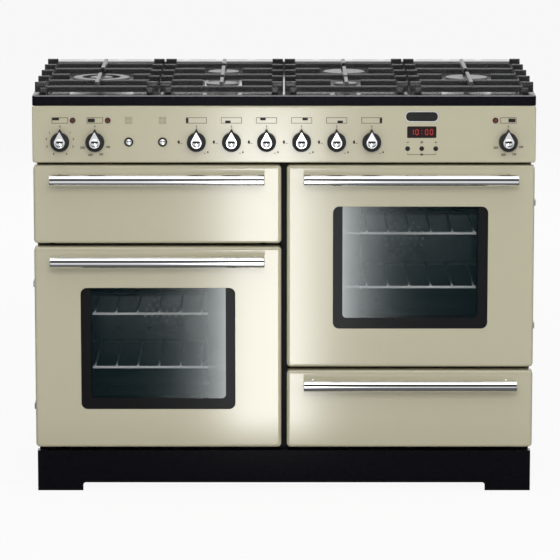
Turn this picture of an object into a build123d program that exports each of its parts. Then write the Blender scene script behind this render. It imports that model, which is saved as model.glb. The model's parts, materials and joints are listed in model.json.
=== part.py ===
from build123d import *
import os
from math import asin, cos, degrees, pi, radians, sin

# Free-standing dual fuel range cooker, 110 cm class, in millimetres.
# +Z is up, the doors face -Y, +X is to the viewer's right, and the origin is on the
# floor under the middle of the whole cooker, handles included.

# Overall envelope
panel_width = 1092.0
carcass_inset = 6.5
total_depth = 648.0
inlet_proud = 8.0

# Heights, stacked from the floor upwards
plinth_height = 90.0
plinth_inset = 3.0
plinth_arch = 18.0
plinth_foot_width = 100.0
plinth_arch_radius = 6.0
plinth_recess = 20.0
plinth_door_gap = 11.5
short_front_height = 172.0
tall_door_height = 446.0
row_gap = 7.5
panel_gap = 6.0
control_panel_height = 125.0
hob_rim_height = 22.0
support_proud = 26.0

# Door columns
column_gap = 12.0
column_inset = 1.0

# Sheet metal
skin = 1.5
liner_sheet = 1.2
frame_sheet = 2.0
flange_width = 14.0

# Door construction
door_depth = 40.0
door_skin_depth = 34.0
door_corner_radius = 8.5
door_edge_radius = 7.0
plate_inset = 0.5
seal_gap = 4.0
window_width = 338.0
window_height = 270.0
window_radius = 14.0
inner_window_radius = 1.0
window_bottom = 85.5
window_overlap = 11.0
pane = 4.0
aperture_border = 24.0
plug_margin = 12.0

# Handles
handle_length = 466.0
bar_radius = 12.5
handle_standoff = 35.5
handle_drop = 28.0
handle_post_spacing = 424.0
post_radius = 6.5
post_foot_radius = 9.0
post_foot_thickness = 3.0
bar_end_round = 2.0
saddle_clearance = 0.1

# Hinges
running_clearance = 0.06
pin_radius = 4.0
pin_reach = 10.0
hinge_inset = 8.0
hinge_setback = 16.0
hinge_lug_proud = 3.0
hinge_arm_height = 12.0
hinge_arm_inner = 6.0
hinge_from_top = 84.0
hinge_from_bottom = 90.0
hinge_play = 1.0
knuckle_height = 14.0
drop_hinge_rise = 12.0
drop_hinge_setback = 10.0
drop_arm_half = 6.0
drop_arm_width = 10.0
drop_hinge_from_edge = 40.0

# Cooking compartments
oven_width = 410.0
oven_height = 340.0
oven_depth = 400.0
grill_width = 430.0
grill_height = 128.0
grill_floor_rise = 30.0
shelf_upper = 63.0
shelf_lower = -57.0
shelf_pitch = 47.0
shelf_front_gap = 20.0
shelf_rear_gap = 8.0
rail_wire = 3.0
cross_wire = 2.0
weld_sink = 0.8
shelf_side_gap = 6.0
rib_depth = 12.0
rib_height = 6.0
seat_clearance = 0.3

# Oven fans
fan_radius = 75.0
fan_width = 28.0
fan_blades = 16
fan_hub_radius = 14.0
fan_shaft_radius = 5.0
fan_gap = 10.0
fan_blade_inner = 45.0
fan_shaft_reach = 35.0
cover_width = 310.0
cover_height = 250.0
cover_depth = 52.0
cover_hole_radius = 3.5
cover_rings = 3
cover_ring_holes = 6
cover_ring_pitch = 14.0
cover_slot_height = 42.0
cover_slot_pitch = 62.0
cover_slot_margin = 13.0
motor_radius = 42.0
motor_length = 70.0
motor_end_wall = 17.5
motor_edge = 4.0
element_radius = 3.5
ring_element_radius = 95.0
element_tail = 30.0
element_tail_spacing = 21.0
grill_element_radius = 4.0
grill_element_drop = 14.0
grill_element_bend = 28.0
grill_element_curve = 25.0
grill_element_front_gap = 84.0
grill_element_rear_gap = 56.0
grill_element_runs = 6

# Drawer and grill pan
drawer_side_room = 34.5
drawer_box_height = 110.0
drawer_box_depth = 450.0
drawer_box_rise = 18.0
drawer_flange = 12.0
drawer_flange_rise = 30.0
drawer_opening_margin = 6.0
runner_gap = 2.0
pan_height = 36.0
pan_depth = 300.0
pan_door_gap = 25.0
pan_lip = 10.0
pan_corner = 4.0
pan_floor_above_hinge = 80.0
grid_wire = 2.5
grid_bars = 9

# Control panel
panel_proud = 4.0
panel_edge_radius = 4.0
panel_corner_radius = 5.0
knob_rise = 45.6
knob_pitch = 76.0
burner_knob_count = 6
end_knob_inset = 60.0
lamp_offset = 28.0
lamp_rise = 92.6
knob_radius = 20.5
knob_base = 12.0
knob_gap = 0.6
knob_grip = 9.0
knob_cap = 4.0
grip_radius = 14.0
grip_tip = 29.0
cap_inset = 2.2
cap_crown = 3.6
cap_crown_radius = 9.5
knob_edge = 1.5
spindle_radius = 4.0
spindle_length = 34.0
tap_width = 26.0
tap_depth = 46.0
tap_neck = 15.0
casting_edge = 3.0
tap_height = 30.0
rail_radius = 9.0
rail_overhang = 30.0
supply_radius = 7.5
inlet_radius = 17.0
inlet_length = 26.0
inlet_bore_radius = 9.5
inlet_bore_depth = 16.0
button_radius = 7.0
button_proud = 5.0
button_dome = 4.5
button_travel = 3.0
button_collar_radius = 10.0
button_collar_thickness = 2.5
switch_size = 40.0
switch_neck = 9.0
switch_body_depth = 45.0
switch_edge = 4.5
switch_depth = 36.0
switch_guide = 18.0
lamp_radius = 6.3
lamp_dome = 2.6
lamp_edge = 2.0
lamp_stem_radius = 4.6
lamp_stem_length = 14.0
clock_offset = 108.5
clock_rise = 67.0
clock_width = 63.0
clock_height = 25.0
clock_lens_radius = 2.5
clock_body_width = 99.0
clock_body_margin = 9.0
clock_body_depth = 26.0
clock_body_drop = 46.0
timer_pitch = 30.5
timer_radius = 5.0
timer_proud = 1.6
timer_length = 14.0
timer_travel = 2.0
timer_rise = 31.0
hole_clearance = 0.3

# Hob
rim_wall = 14.0
rim_ledge = 10.0
rim_rear = 16.0
rim_edge_radius = 3.0
rim_corner_radius = 10.0
hotplate_sheet = 2.0
hotplate_drop = 6.0
hotplate_edge_gap = 0.3
upstand_depth = 26.0
upstand_height = 22.0
vent_slot_width = 5.0
vent_slot_length = 60.0
vent_slot_pitch = 75.0
bowl_margin = 28.0
bowl_depth = 1.0

# Pan supports
support_count = 4
support_gap = 4.0
support_margin = 5.0
support_front_setback = 27.0
support_depth = 476.0
bar_count = 5
bar_width = 12.0
bar_height = 13.0
bar_taper = 5.0
bar_drop = 9.0
lug_length = 24.0
foot_size = 14.0
finger_reach = 14.0
finger_clear = 5.0

# Burners, as crown radius, keyed by place
wok_radius = 66.0
wok_ring_inner = 44.0
wok_core_radius = 24.0
large_radius = 50.0
medium_radius = 38.0
small_radius = 28.0
burner_flange = 4.0
burner_crown = 9.0
burner_cap = 5.0
burner_cap_edge = 3.0
throat_step = 12.0
cap_overhang = 1.5
port_width = 2.4
port_pitch = 9.6
port_depth = 5.0
jet_radius = 10.0
jet_length = 34.0
electrode_radius = 3.0
electrode_gap = 4.0
electrode_wire = 1.0
electrode_turn = 45.0

# Carcass
base_rise = 22.0
base_wall = 70.0
foot_pad_radius = 24.0
foot_pad_height = 9.0
foot_stem_radius = 6.0
foot_nut_height = 6.0
foot_nut_radius = 10.0
foot_inset_x = 52.0
foot_inset_y = 60.0
frame_drop = 30.0
service_opening_height = 100.0
service_opening_margin = 26.0
louvre_width = 6.0
louvre_length = 120.0
louvre_pitch = 16.0
louvre_rows = 6
louvre_columns = 5
terminal_width = 110.0
terminal_height = 80.0
terminal_depth = 46.0
terminal_side_room = 98.0
gland_proud = 4.0
terminal_rise = 160.0
gland_radius = 14.0
gland_bore_radius = 10.0

# Widths worked out from the driving sizes
carcass_width = panel_width - 2 * carcass_inset
plinth_width = panel_width - 2 * plinth_inset
column_width = (panel_width - 2 * column_inset - column_gap) / 2
drawer_box_width = column_width - 2 * drawer_side_room
side_inner = carcass_width / 2 - skin
terminal_x = side_inner - terminal_side_room

# Places along the fascia
burner_knob_x = [(i - (burner_knob_count - 1) / 2) * knob_pitch for i in range(burner_knob_count)]
grill_knob_x = end_knob_inset - panel_width / 2
left_oven_knob_x = grill_knob_x + knob_pitch
right_oven_knob_x = panel_width / 2 - end_knob_inset
button_step = (burner_knob_x[0] - left_oven_knob_x) / 3
button_x = (left_oven_knob_x + button_step, left_oven_knob_x + 2 * button_step)
lamp_x = (grill_knob_x + lamp_offset, left_oven_knob_x + lamp_offset, right_oven_knob_x - lamp_offset)
clock_x = burner_knob_x[-1] + clock_offset

# Levels worked out from the driving sizes
front_bottom = plinth_height + plinth_door_gap
front_top = front_bottom + short_front_height + row_gap + tall_door_height
panel_bottom = front_top + panel_gap
panel_top = panel_bottom + control_panel_height
rim_top = panel_top + hob_rim_height
hotplate_top = rim_top - hotplate_drop
support_top = rim_top + support_proud
bar_top = support_top - bar_drop
knob_z = panel_bottom + knob_rise
lamp_z = panel_bottom + lamp_rise

# Depth stations, from the handles at the front to the gas inlet
inlet_end = total_depth / 2
rear = inlet_end - inlet_proud
face = -total_depth / 2 + bar_radius + handle_standoff
bar_y = face - handle_standoff
skin_back = face + door_skin_depth
door_back = face + door_depth
frame_front = door_back + seal_gap
frame_back = frame_front + frame_sheet
panel_front = face - panel_proud
panel_back = panel_front + skin
plinth_front = face + plinth_recess
rear_inner = rear - skin

# Column and compartment places
column_x = column_gap / 2 + column_width / 2
tall_left_z = front_bottom + tall_door_height / 2
short_left_z = front_top - short_front_height / 2
tall_right_z = front_top - tall_door_height / 2
short_right_z = front_bottom + short_front_height / 2
oven_back = frame_back + oven_depth
shelf_depth = oven_depth - shelf_front_gap - cover_depth - shelf_rear_gap
grill_floor = short_left_z - short_front_height / 2 + grill_floor_rise
grill_roof = grill_floor + grill_height
drop_hinge_z = short_left_z - short_front_height / 2 + drop_hinge_rise
drop_hinge_y = face + drop_hinge_setback
swing_y = face + hinge_setback
swing_x = column_x + column_width / 2 - hinge_inset
inner_pane_grow = window_overlap - aperture_border
rail_y = panel_back + tap_depth + rail_radius

# Pan-support places
support_width = (panel_width - 2 * support_margin - (support_count - 1) * support_gap) / support_count
support_x = [(i - (support_count - 1) / 2) * (support_width + support_gap) for i in range(support_count)]
support_front = panel_front + support_front_setback
bar_pitch = (support_depth - bar_width) / (bar_count - 1)
bar_y_places = [support_front + bar_width / 2 + i * bar_pitch for i in range(bar_count)]

# Burner places: centre and crown radius
burners = [
    (support_x[0], bar_y_places[2], wok_radius),
    (support_x[1], bar_y_places[1], medium_radius),
    (support_x[1], bar_y_places[3], medium_radius),
    (support_x[2], bar_y_places[3], large_radius),
    (support_x[2], bar_y_places[1], small_radius),
    (support_x[3], bar_y_places[2], large_radius),
]


def block(x, y, z):
    """A box between the given limits on each axis."""
    middle = Pos((x[0] + x[1]) / 2, (y[0] + y[1]) / 2, (z[0] + z[1]) / 2)
    return middle * Box(x[1] - x[0], y[1] - y[0], z[1] - z[0])


def around(centre, size):
    """Limits of a span of the given size about its centre."""
    return (centre - size / 2, centre + size / 2)


def prism(sketch, y_front, y_back):
    """Extrudes a sketch drawn in X and Z between two depths."""
    plane = Plane(origin=(0, y_back, 0), x_dir=(1, 0, 0), z_dir=(0, -1, 0))
    return extrude(plane * sketch, amount=y_back - y_front)


def rod_x(radius, x, y, z):
    """A round rod along X between two limits."""
    return Pos((x[0] + x[1]) / 2, y, z) * Rot(0, 90, 0) * Cylinder(radius, x[1] - x[0])


def rod_y(radius, x, y, z):
    """A round rod along Y between two limits."""
    return Pos(x, (y[0] + y[1]) / 2, z) * Rot(90, 0, 0) * Cylinder(radius, y[1] - y[0])


def rod_z(radius, x, y, z):
    """A round rod along Z between two limits."""
    return Pos(x, y, (z[0] + z[1]) / 2) * Cylinder(radius, z[1] - z[0])


def pressed_tray(x, z, y_front, y_back, corner, edge, sheet):
    """A pressed sheet, open behind, with rounded corners and front edges."""
    shells = []
    for inset in (0.0, sheet):
        size = (x[1] - x[0] - 2 * inset, z[1] - z[0] - 2 * inset)
        outline = Pos((x[0] + x[1]) / 2, (z[0] + z[1]) / 2) * RectangleRounded(*size, corner - inset)
        solid = prism(outline, y_front + inset, y_back)
        shells.append(fillet(solid.faces().sort_by(Axis.Y)[0].edges(), edge - inset))
    return shells[0] - shells[1]


def door_limits(side, centre_z, height):
    """X and Z limits of one front; side is -1 on the left and +1 on the right."""
    return around(side * column_x, column_width), around(centre_z, height)


def hinge_heights(centre_z):
    """Heights of the two hinges of a tall door."""
    return (
        centre_z + tall_door_height / 2 - hinge_from_top,
        centre_z - tall_door_height / 2 + hinge_from_bottom,
    )


def hinge_notches(side, centre_z):
    """Room behind the outer edge of a tall door for the fixed hinge arms to sweep through."""
    reach = hinge_arm_inner + hinge_play
    inner = swing_x - reach
    outer = swing_x + hinge_inset + hinge_play
    depth_front = swing_y - hinge_inset - hinge_lug_proud - 2 * hinge_play
    tall = hinge_arm_height + hinge_play
    cuts = []
    for z in hinge_heights(centre_z):
        x = sorted((side * inner, side * outer))
        cuts.append(block(x, (depth_front, frame_front), around(z, tall)))
    return cuts


def window_outline(centre_x, centre_z, grow):
    """The rounded window shape of a tall door, grown by an overlap."""
    middle_z = centre_z - tall_door_height / 2 + window_bottom + window_height / 2
    size = (window_width + 2 * grow, window_height + 2 * grow)
    corner = max(window_radius + grow, inner_window_radius)
    return Pos(centre_x, middle_z) * RectangleRounded(*size, corner)


def closing_plate(x, z):
    """Flat plate that closes the back of a pressed front and seats on its rim."""
    size = (x[1] - x[0] - 2 * plate_inset, z[1] - z[0] - 2 * plate_inset)
    outline = RectangleRounded(*size, door_corner_radius - plate_inset)
    middle = Pos((x[0] + x[1]) / 2, (z[0] + z[1]) / 2)
    return prism(middle * outline, skin_back, skin_back + skin)


def tall_door_panel(side, centre_z):
    """Enamelled skin of an oven door with its window opening."""
    x, z = door_limits(side, centre_z, tall_door_height)
    panel = pressed_tray(x, z, face, skin_back, door_corner_radius, door_edge_radius, skin)
    panel -= prism(window_outline(side * column_x, centre_z, 0), face - skin, face + 2 * skin)
    for notch in hinge_notches(side, centre_z):
        panel -= notch
    return panel


def tall_door_glass(side, centre_z):
    """Outer pane behind the skin and inner pane in front of the liner."""
    front = face + skin
    outer = window_outline(side * column_x, centre_z, window_overlap)
    inner = window_outline(side * column_x, centre_z, inner_pane_grow)
    return [prism(outer, front, front + pane), prism(inner, skin_back - pane, skin_back)]


def tall_door_liner(side, centre_z):
    """Inner door pan with a raised plug, a frame round the panes and the hinge knuckles."""
    x, z = door_limits(side, centre_z, tall_door_height)
    centre_x = side * column_x
    plug_x = around(centre_x, oven_width - 2 * plug_margin)
    plug_z = around(centre_z, oven_height - 2 * plug_margin)
    liner = closing_plate(x, z) + block(plug_x, (skin_back, door_back), plug_z)
    view = window_outline(centre_x, centre_z, -aperture_border)
    liner -= prism(view, skin_back - skin, door_back + skin)
    duct_front = face + skin + pane + seat_clearance
    duct = prism(window_outline(centre_x, centre_z, inner_pane_grow + skin), duct_front, skin_back)
    duct -= prism(window_outline(centre_x, centre_z, inner_pane_grow), duct_front - skin, skin_back)
    liner += duct
    knuckle = (swing_x - hinge_arm_inner - hinge_play, swing_x + hinge_inset - 2 * skin)
    knuckle_x = sorted(side * limit for limit in knuckle)
    half_arm = hinge_arm_height / 2 + hinge_play / 2
    for hinge_z in hinge_heights(centre_z):
        for low in (hinge_z + half_arm, hinge_z - half_arm - knuckle_height):
            knuckle_y = (swing_y - hinge_inset, skin_back)
            liner += block(knuckle_x, knuckle_y, (low, low + knuckle_height))
    for hinge_z in hinge_heights(centre_z):
        bore = around(hinge_z, hinge_arm_height + hinge_play + 2 * knuckle_height + 2 * skin)
        liner -= rod_z(pin_radius + running_clearance, side * swing_x, swing_y, bore)
    for notch in hinge_notches(side, centre_z):
        liner -= notch
    return liner


def swing_hinge(side, hinge_z):
    """Fixed hinge arm with its vertical pin, carried by the front frame."""
    reach = (swing_x - hinge_arm_inner, swing_x + hinge_inset + hinge_lug_proud)
    x = sorted(side * limit for limit in reach)
    y = (swing_y - hinge_inset + hinge_play, frame_front)
    arm = block(x, y, around(hinge_z, hinge_arm_height))
    pin = around(hinge_z, hinge_arm_height + hinge_play + 2 * pin_reach)
    return arm + rod_z(pin_radius, side * swing_x, swing_y, pin)


def drop_arm_places():
    """X places of the two arms that carry the drop-down grill door."""
    reach = column_width / 2 - drop_hinge_from_edge
    return (-column_x - reach, -column_x + reach)


def drop_notches():
    """Room in the lower rear edge of the grill door for the fixed arms."""
    bottom = short_left_z - short_front_height / 2
    top = drop_hinge_z + drop_arm_half + hinge_play
    front = drop_hinge_y - drop_arm_half - hinge_play
    wide = drop_arm_width + 2 * hinge_play
    room = ((front, frame_front), (bottom - skin, top))
    return [block(around(x, wide), *room) for x in drop_arm_places()]


def grill_door_panel():
    """Enamelled skin of the drop-down grill door."""
    x, z = door_limits(-1, short_left_z, short_front_height)
    panel = pressed_tray(x, z, face, skin_back, door_corner_radius, door_edge_radius, skin)
    for notch in drop_notches():
        panel -= notch
    return panel


def grill_door_liner():
    """Inner pan of the grill door with the knuckles for its hinge pins."""
    x, z = door_limits(-1, short_left_z, short_front_height)
    plug_x = around(-column_x, grill_width - 2 * plug_margin)
    plug_z = (grill_floor + plug_margin, grill_roof - plug_margin)
    liner = closing_plate(x, z) + block(plug_x, (skin_back, door_back), plug_z)
    half = drop_arm_width / 2 + hinge_play
    for arm_x in drop_arm_places():
        for low in (arm_x + half, arm_x - half - knuckle_height):
            knuckle_y = (drop_hinge_y - drop_arm_half - hinge_play / 2, skin_back)
            knuckle_z = (z[0] + 2 * skin, drop_hinge_z + drop_arm_half + hinge_play)
            liner += block((low, low + knuckle_height), knuckle_y, knuckle_z)
        bore = around(arm_x, drop_arm_width + 2 * hinge_play + 2 * knuckle_height + 2 * skin)
        liner -= rod_x(pin_radius + running_clearance, bore, drop_hinge_y, drop_hinge_z)
    for notch in drop_notches():
        liner -= notch
    return liner


def drop_hinge(arm_x):
    """Fixed arm, rounded about a horizontal pin, for the grill door."""
    x = around(arm_x, drop_arm_width)
    arm = block(x, (drop_hinge_y, frame_front), around(drop_hinge_z, 2 * drop_arm_half))
    arm += rod_x(drop_arm_half, x, drop_hinge_y, drop_hinge_z)
    pin = around(arm_x, drop_arm_width + 2 * hinge_play + 2 * pin_reach)
    return arm + rod_x(pin_radius, pin, drop_hinge_y, drop_hinge_z)


def handle(side, top):
    """Round bar handle on two turned posts; returns the bar and both posts."""
    centre_x = side * column_x
    bar_z = top - handle_drop
    bar = rod_x(bar_radius, around(centre_x, handle_length), bar_y, bar_z)
    bar = fillet(bar.edges().filter_by(GeomType.CIRCLE), bar_end_round)
    saddle = rod_x(bar_radius + saddle_clearance, around(centre_x, handle_length), bar_y, bar_z)
    posts = []
    for x in around(centre_x, handle_post_spacing):
        post = rod_y(post_radius, x, (bar_y, face), bar_z)
        post += rod_y(post_foot_radius, x, (face - post_foot_thickness, face), bar_z)
        posts.append(post - saddle)
    return [bar] + posts


def drawer_front():
    """Enamelled skin of the storage drawer."""
    x, z = door_limits(1, short_right_z, short_front_height)
    return pressed_tray(x, z, face, skin_back, door_corner_radius, door_edge_radius, skin)


def drawer_runner_top():
    """Height of the ledges that carry the drawer."""
    return front_bottom + drawer_box_rise + drawer_flange_rise - seat_clearance


def drawer_box():
    """Open-topped sheet box behind a closing plate, with a sliding flange on each side."""
    x, z = door_limits(1, short_right_z, short_front_height)
    floor_z = front_bottom + drawer_box_rise
    box_x = around(column_x, drawer_box_width)
    box_y = (skin_back + skin, skin_back + skin + drawer_box_depth)
    box = block(box_x, box_y, (floor_z, floor_z + drawer_box_height))
    hollow_x = (box_x[0] + liner_sheet, box_x[1] - liner_sheet)
    hollow_y = (box_y[0], box_y[1] - liner_sheet)
    box -= block(hollow_x, hollow_y, (floor_z + liner_sheet, floor_z + 2 * drawer_box_height))
    flange_z = floor_z + drawer_flange_rise
    flange_x = (box_x[0] - drawer_flange, box_x[1] + drawer_flange)
    flange = block(flange_x, (frame_back, box_y[1]), (flange_z, flange_z + skin))
    flange -= block(hollow_x, (frame_front, 2 * rear), (floor_z, floor_z + drawer_box_height))
    return closing_plate(x, z) + box + flange


def drawer_runner(side):
    """Upright angle standing on the base floor, with a ledge under the drawer flange."""
    ledge = (drawer_box_width / 2 + runner_gap, drawer_box_width / 2 + drawer_flange + runner_gap)
    top = drawer_runner_top()
    run = (frame_back + frame_sheet, rear_inner - base_rise)
    web_x = sorted((column_x + side * ledge[1], column_x + side * (ledge[1] + frame_sheet)))
    ledge_x = sorted((column_x + side * ledge[0], column_x + side * ledge[1]))
    runner = block(web_x, run, (base_rise + frame_sheet, top))
    return runner + block(ledge_x, run, (top - frame_sheet, top))


def pan_floor():
    """Height of the underside of the grill pan."""
    return drop_hinge_z + pan_floor_above_hinge


def grill_runner(side):
    """Angle on the side wall of the grill compartment that carries the pan by its lip."""
    wall = grill_width / 2
    top = pan_floor() + pan_height - skin - seat_clearance
    x = sorted((-column_x + side * wall, -column_x + side * (wall - 2 * pan_lip)))
    leg = sorted((-column_x + side * wall, -column_x + side * (wall - skin)))
    run = (frame_back, oven_back)
    return block(x, run, (top - skin, top)) + block(leg, run, (top - flange_width, top))


def grill_pan():
    """Enamelled pan hung by its side lips, and the wire grid that lies in it."""
    half = grill_width / 2 - skin - runner_gap
    body = half - 2 * pan_lip
    front = door_back + pan_door_gap
    y = (front, front + pan_depth)
    floor_z = pan_floor()
    top = floor_z + pan_height
    tray = block(around(-column_x, 2 * body), y, (floor_z, top))
    tray = fillet(tray.edges().filter_by(Axis.Z), pan_corner)
    cut_x = around(-column_x, 2 * (body - skin))
    hollow = block(cut_x, (y[0] + skin, y[1] - skin), (floor_z + skin, top + skin))
    tray -= fillet(hollow.edges().filter_by(Axis.Z), pan_corner - skin)
    for side in (-1, 1):
        lip = sorted((-column_x + side * (body - skin), -column_x + side * half))
        tray += block(lip, y, (top - skin, top))
    wire_z = floor_z + skin + seat_clearance + grid_wire
    grid_x = around(-column_x, 2 * (body - skin - pan_lip))
    grid_y = (y[0] + skin + pan_lip, y[1] - skin - pan_lip)
    ends = [rod_x(grid_wire, grid_x, y_place, wire_z) for y_place in grid_y]
    grid = ends[0] + ends[1]
    pitch = (grid_x[1] - grid_x[0]) / (grid_bars - 1)
    inner = [grid_x[0] + i * pitch for i in range(1, grid_bars - 1)]
    for x in [grid_x[0] + grid_wire] + inner + [grid_x[1] - grid_wire]:
        grid += rod_y(cross_wire, x, grid_y, wire_z)
    return [tray, grid]


def compartment_liner(centre_x, z, width, ribs):
    """Enamelled box open at the front, with a flange behind the front frame and shelf ribs."""
    x = around(centre_x, width)
    y = (frame_back, oven_back)
    outer_x = (x[0] - liner_sheet, x[1] + liner_sheet)
    outer_z = (z[0] - liner_sheet, z[1] + liner_sheet)
    box = block(outer_x, (y[0], y[1] + liner_sheet), outer_z)
    flange_x = (x[0] - flange_width, x[1] + flange_width)
    box += block(flange_x, (y[0], y[0] + liner_sheet), (z[0] - flange_width, z[1] + flange_width))
    box -= block(x, (y[0] - liner_sheet, y[1]), z)
    for rib_top in ribs:
        for wall, sign in ((x[0], 1), (x[1], -1)):
            rib_x = sorted((wall, wall + sign * rib_depth))
            run = (y[0] + shelf_front_gap, y[0] + shelf_front_gap + shelf_depth)
            box += block(rib_x, run, (rib_top - rib_height, rib_top))
    return box


def oven_liner(side, centre_z):
    """Oven cavity with two rib levels and holes for the fan shaft and the element tails."""
    z = around(centre_z, oven_height)
    ribs = [centre_z + level - rail_wire - seat_clearance for level in (shelf_upper, shelf_lower)]
    liner = compartment_liner(side * column_x, z, oven_width, ribs)
    wall = (oven_back - liner_sheet, oven_back + 2 * liner_sheet)
    liner -= rod_y(fan_shaft_radius + hole_clearance, side * column_x, wall, centre_z)
    for tail in around(side * column_x, element_tail_spacing):
        liner -= rod_y(element_radius + hole_clearance, tail, wall, centre_z - ring_element_radius)
    return liner


def grill_liner():
    """Grill cavity with holes for the element tails."""
    liner = compartment_liner(-column_x, (grill_floor, grill_roof), grill_width, [])
    wall = (oven_back - liner_sheet, oven_back + 2 * liner_sheet)
    for x in grill_tail_places():
        liner -= rod_y(grill_element_radius + hole_clearance, x, wall, grill_roof - grill_element_drop)
    return liner


def oven_shelf(side, shelf_z):
    """Welded wire shelf: a round frame and cross wires laid on it from front to back."""
    x = around(side * column_x, oven_width - 2 * shelf_side_gap)
    front = frame_back + shelf_front_gap
    y = (front + rail_wire, front + shelf_depth - rail_wire)
    shelf = rod_x(rail_wire, x, y[0], shelf_z) + rod_x(rail_wire, x, y[1], shelf_z)
    for x_side in (x[0] + rail_wire, x[1] - rail_wire):
        shelf += rod_y(rail_wire, x_side, y, shelf_z)
    count = int((oven_width / 2 - shelf_side_gap - shelf_pitch / 2) // shelf_pitch)
    wire_z = shelf_z + rail_wire + cross_wire - weld_sink
    wire_y = (front, front + shelf_depth)
    for i in range(-count, count + 1):
        shelf += rod_y(cross_wire, side * column_x + i * shelf_pitch, wire_y, wire_z)
    return shelf


def fan_cover(side, centre_z):
    """Pressed cover in front of the oven fan with an intake rosette and outlet slots."""
    x = around(side * column_x, cover_width)
    z = around(centre_z, cover_height)
    y = (oven_back - cover_depth, oven_back)
    cover = block(x, y, z)
    room_x = (x[0] + skin, x[1] - skin)
    cover -= block(room_x, (y[0] + skin, y[1] + skin), (z[0] + skin, z[1] - skin))
    through = (y[0] - skin, y[0] + 2 * skin)
    holes = [rod_y(cover_hole_radius, side * column_x, through, centre_z)]
    for ring in range(1, cover_rings + 1):
        radius = ring * cover_ring_pitch
        count = ring * cover_ring_holes
        for i in range(count):
            turn = 2 * pi * i / count
            hole_x = side * column_x + radius * cos(turn)
            hole_z = centre_z + radius * sin(turn)
            holes.append(rod_y(cover_hole_radius, hole_x, through, hole_z))
    cover -= holes
    slot_y = (y[0] + cover_slot_margin, y[1] - cover_slot_margin)
    slots = []
    for level in (-1, 0, 1):
        slot_z = around(centre_z + level * cover_slot_pitch, cover_slot_height)
        slots.append(block((x[0] - skin, x[1] + skin), slot_y, slot_z))
    return cover - slots


def fan_motor(side, centre_z):
    """Motor behind the oven wall with a bore for the fan shaft."""
    y = (oven_back + liner_sheet, oven_back + liner_sheet + motor_length)
    motor = rod_y(motor_radius, side * column_x, y, centre_z)
    motor = fillet(motor.faces().sort_by(Axis.Y)[-1].edges(), motor_edge)
    bore = (y[0] - skin, y[1] - motor_end_wall)
    return motor - rod_y(fan_shaft_radius + running_clearance, side * column_x, bore, centre_z)


def oven_fan(side, centre_z):
    """Radial fan: a back disc with straight blades, a hub and its shaft."""
    back = oven_back - fan_gap
    disc = rod_y(fan_radius, side * column_x, (back - skin, back), centre_z)
    hub = rod_y(fan_hub_radius, side * column_x, (back - fan_width, back), centre_z)
    shaft_end = oven_back + liner_sheet + fan_shaft_reach
    shaft = rod_y(fan_shaft_radius, side * column_x, (back - skin, shaft_end), centre_z)
    centre = Pos(side * column_x, 0, centre_z)
    blade = block((fan_blade_inner, fan_radius), (back - fan_width, back - skin), around(0, skin))
    blades = [centre * Rot(0, 360 * i / fan_blades, 0) * blade for i in range(fan_blades)]
    return disc + hub + shaft + blades


def ring_element(side, centre_z):
    """Ring element round the fan, its two tails going out through the oven wall."""
    y_ring = oven_back - cover_depth / 2
    plane = Plane(origin=(side * column_x, y_ring, centre_z), x_dir=(1, 0, 0), z_dir=(0, -1, 0))
    start = degrees(asin(element_tail_spacing / 2 / ring_element_radius))
    arc = plane * CenterArc((0, 0), ring_element_radius, 270 + start, 360 - 2 * start)
    first = arc @ 0
    ring = sweep(Plane(origin=first, z_dir=arc % 0) * Circle(element_radius), path=arc)
    tail_z = centre_z - ring_element_radius
    for x in around(side * column_x, element_tail_spacing):
        ring += rod_y(element_radius, x, (y_ring, oven_back + element_tail), tail_z)
    return ring


def grill_tail_places():
    """X places of the two tails of the grill element."""
    reach = grill_element_bend * (grill_element_runs - 1)
    return (-column_x - reach, -column_x + reach)


def grill_element():
    """Serpentine heating rod under the grill roof."""
    z = grill_roof - grill_element_drop
    ends = (frame_back + grill_element_front_gap, oven_back - grill_element_rear_gap)
    first, last = grill_tail_places()
    points = [(first, oven_back + element_tail, z)]
    for turn in range(grill_element_runs - 1):
        x = first + 2 * grill_element_bend * turn
        y = ends[turn % 2]
        points += [(x, y, z), (x + 2 * grill_element_bend, y, z)]
    points.append((last, oven_back + element_tail, z))
    path = FilletPolyline(*points, radius=grill_element_curve)
    return sweep(Plane(origin=path @ 0, z_dir=path % 0) * Circle(grill_element_radius), path=path)


def front_frame():
    """Black face frame with an opening for each compartment and for the controls."""
    half = carcass_width / 2
    frame = block((-half, half), (frame_front, frame_back), (front_bottom - frame_drop, panel_top))
    through = (frame_front - skin, frame_back + skin)
    for side, centre_z in ((-1, tall_left_z), (1, tall_right_z)):
        frame -= block(around(side * column_x, oven_width), through, around(centre_z, oven_height))
    frame -= block(around(-column_x, grill_width), through, (grill_floor, grill_roof))
    drawer_open = drawer_box_width + 2 * (drawer_flange + runner_gap + frame_sheet + runner_gap)
    floor_z = front_bottom + drawer_box_rise
    box_top = floor_z + drawer_box_height
    open_z = (floor_z - drawer_opening_margin, box_top + drawer_opening_margin)
    frame -= block(around(column_x, drawer_open), through, open_z)
    service_x = half - service_opening_margin
    service_z = around(panel_bottom + control_panel_height / 2, service_opening_height)
    frame -= block((-service_x, service_x), through, service_z)
    return frame


def side_panel(side):
    """Side sheet with a folded flange at its front, top and rear edges."""
    half = carcass_width / 2
    z = (base_rise, panel_top)
    y = (frame_back, rear_inner)
    sheet = block(sorted((side * side_inner, side * half)), y, z)
    turned = sorted((side * (side_inner - flange_width), side * side_inner))
    above_base = (base_rise + base_wall, panel_top)
    sheet += block(turned, (y[0], y[0] + skin), above_base)
    sheet += block(turned, (y[1] - skin, y[1]), above_base)
    sheet += block(turned, y, (panel_top - skin, panel_top))
    return sheet


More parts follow.
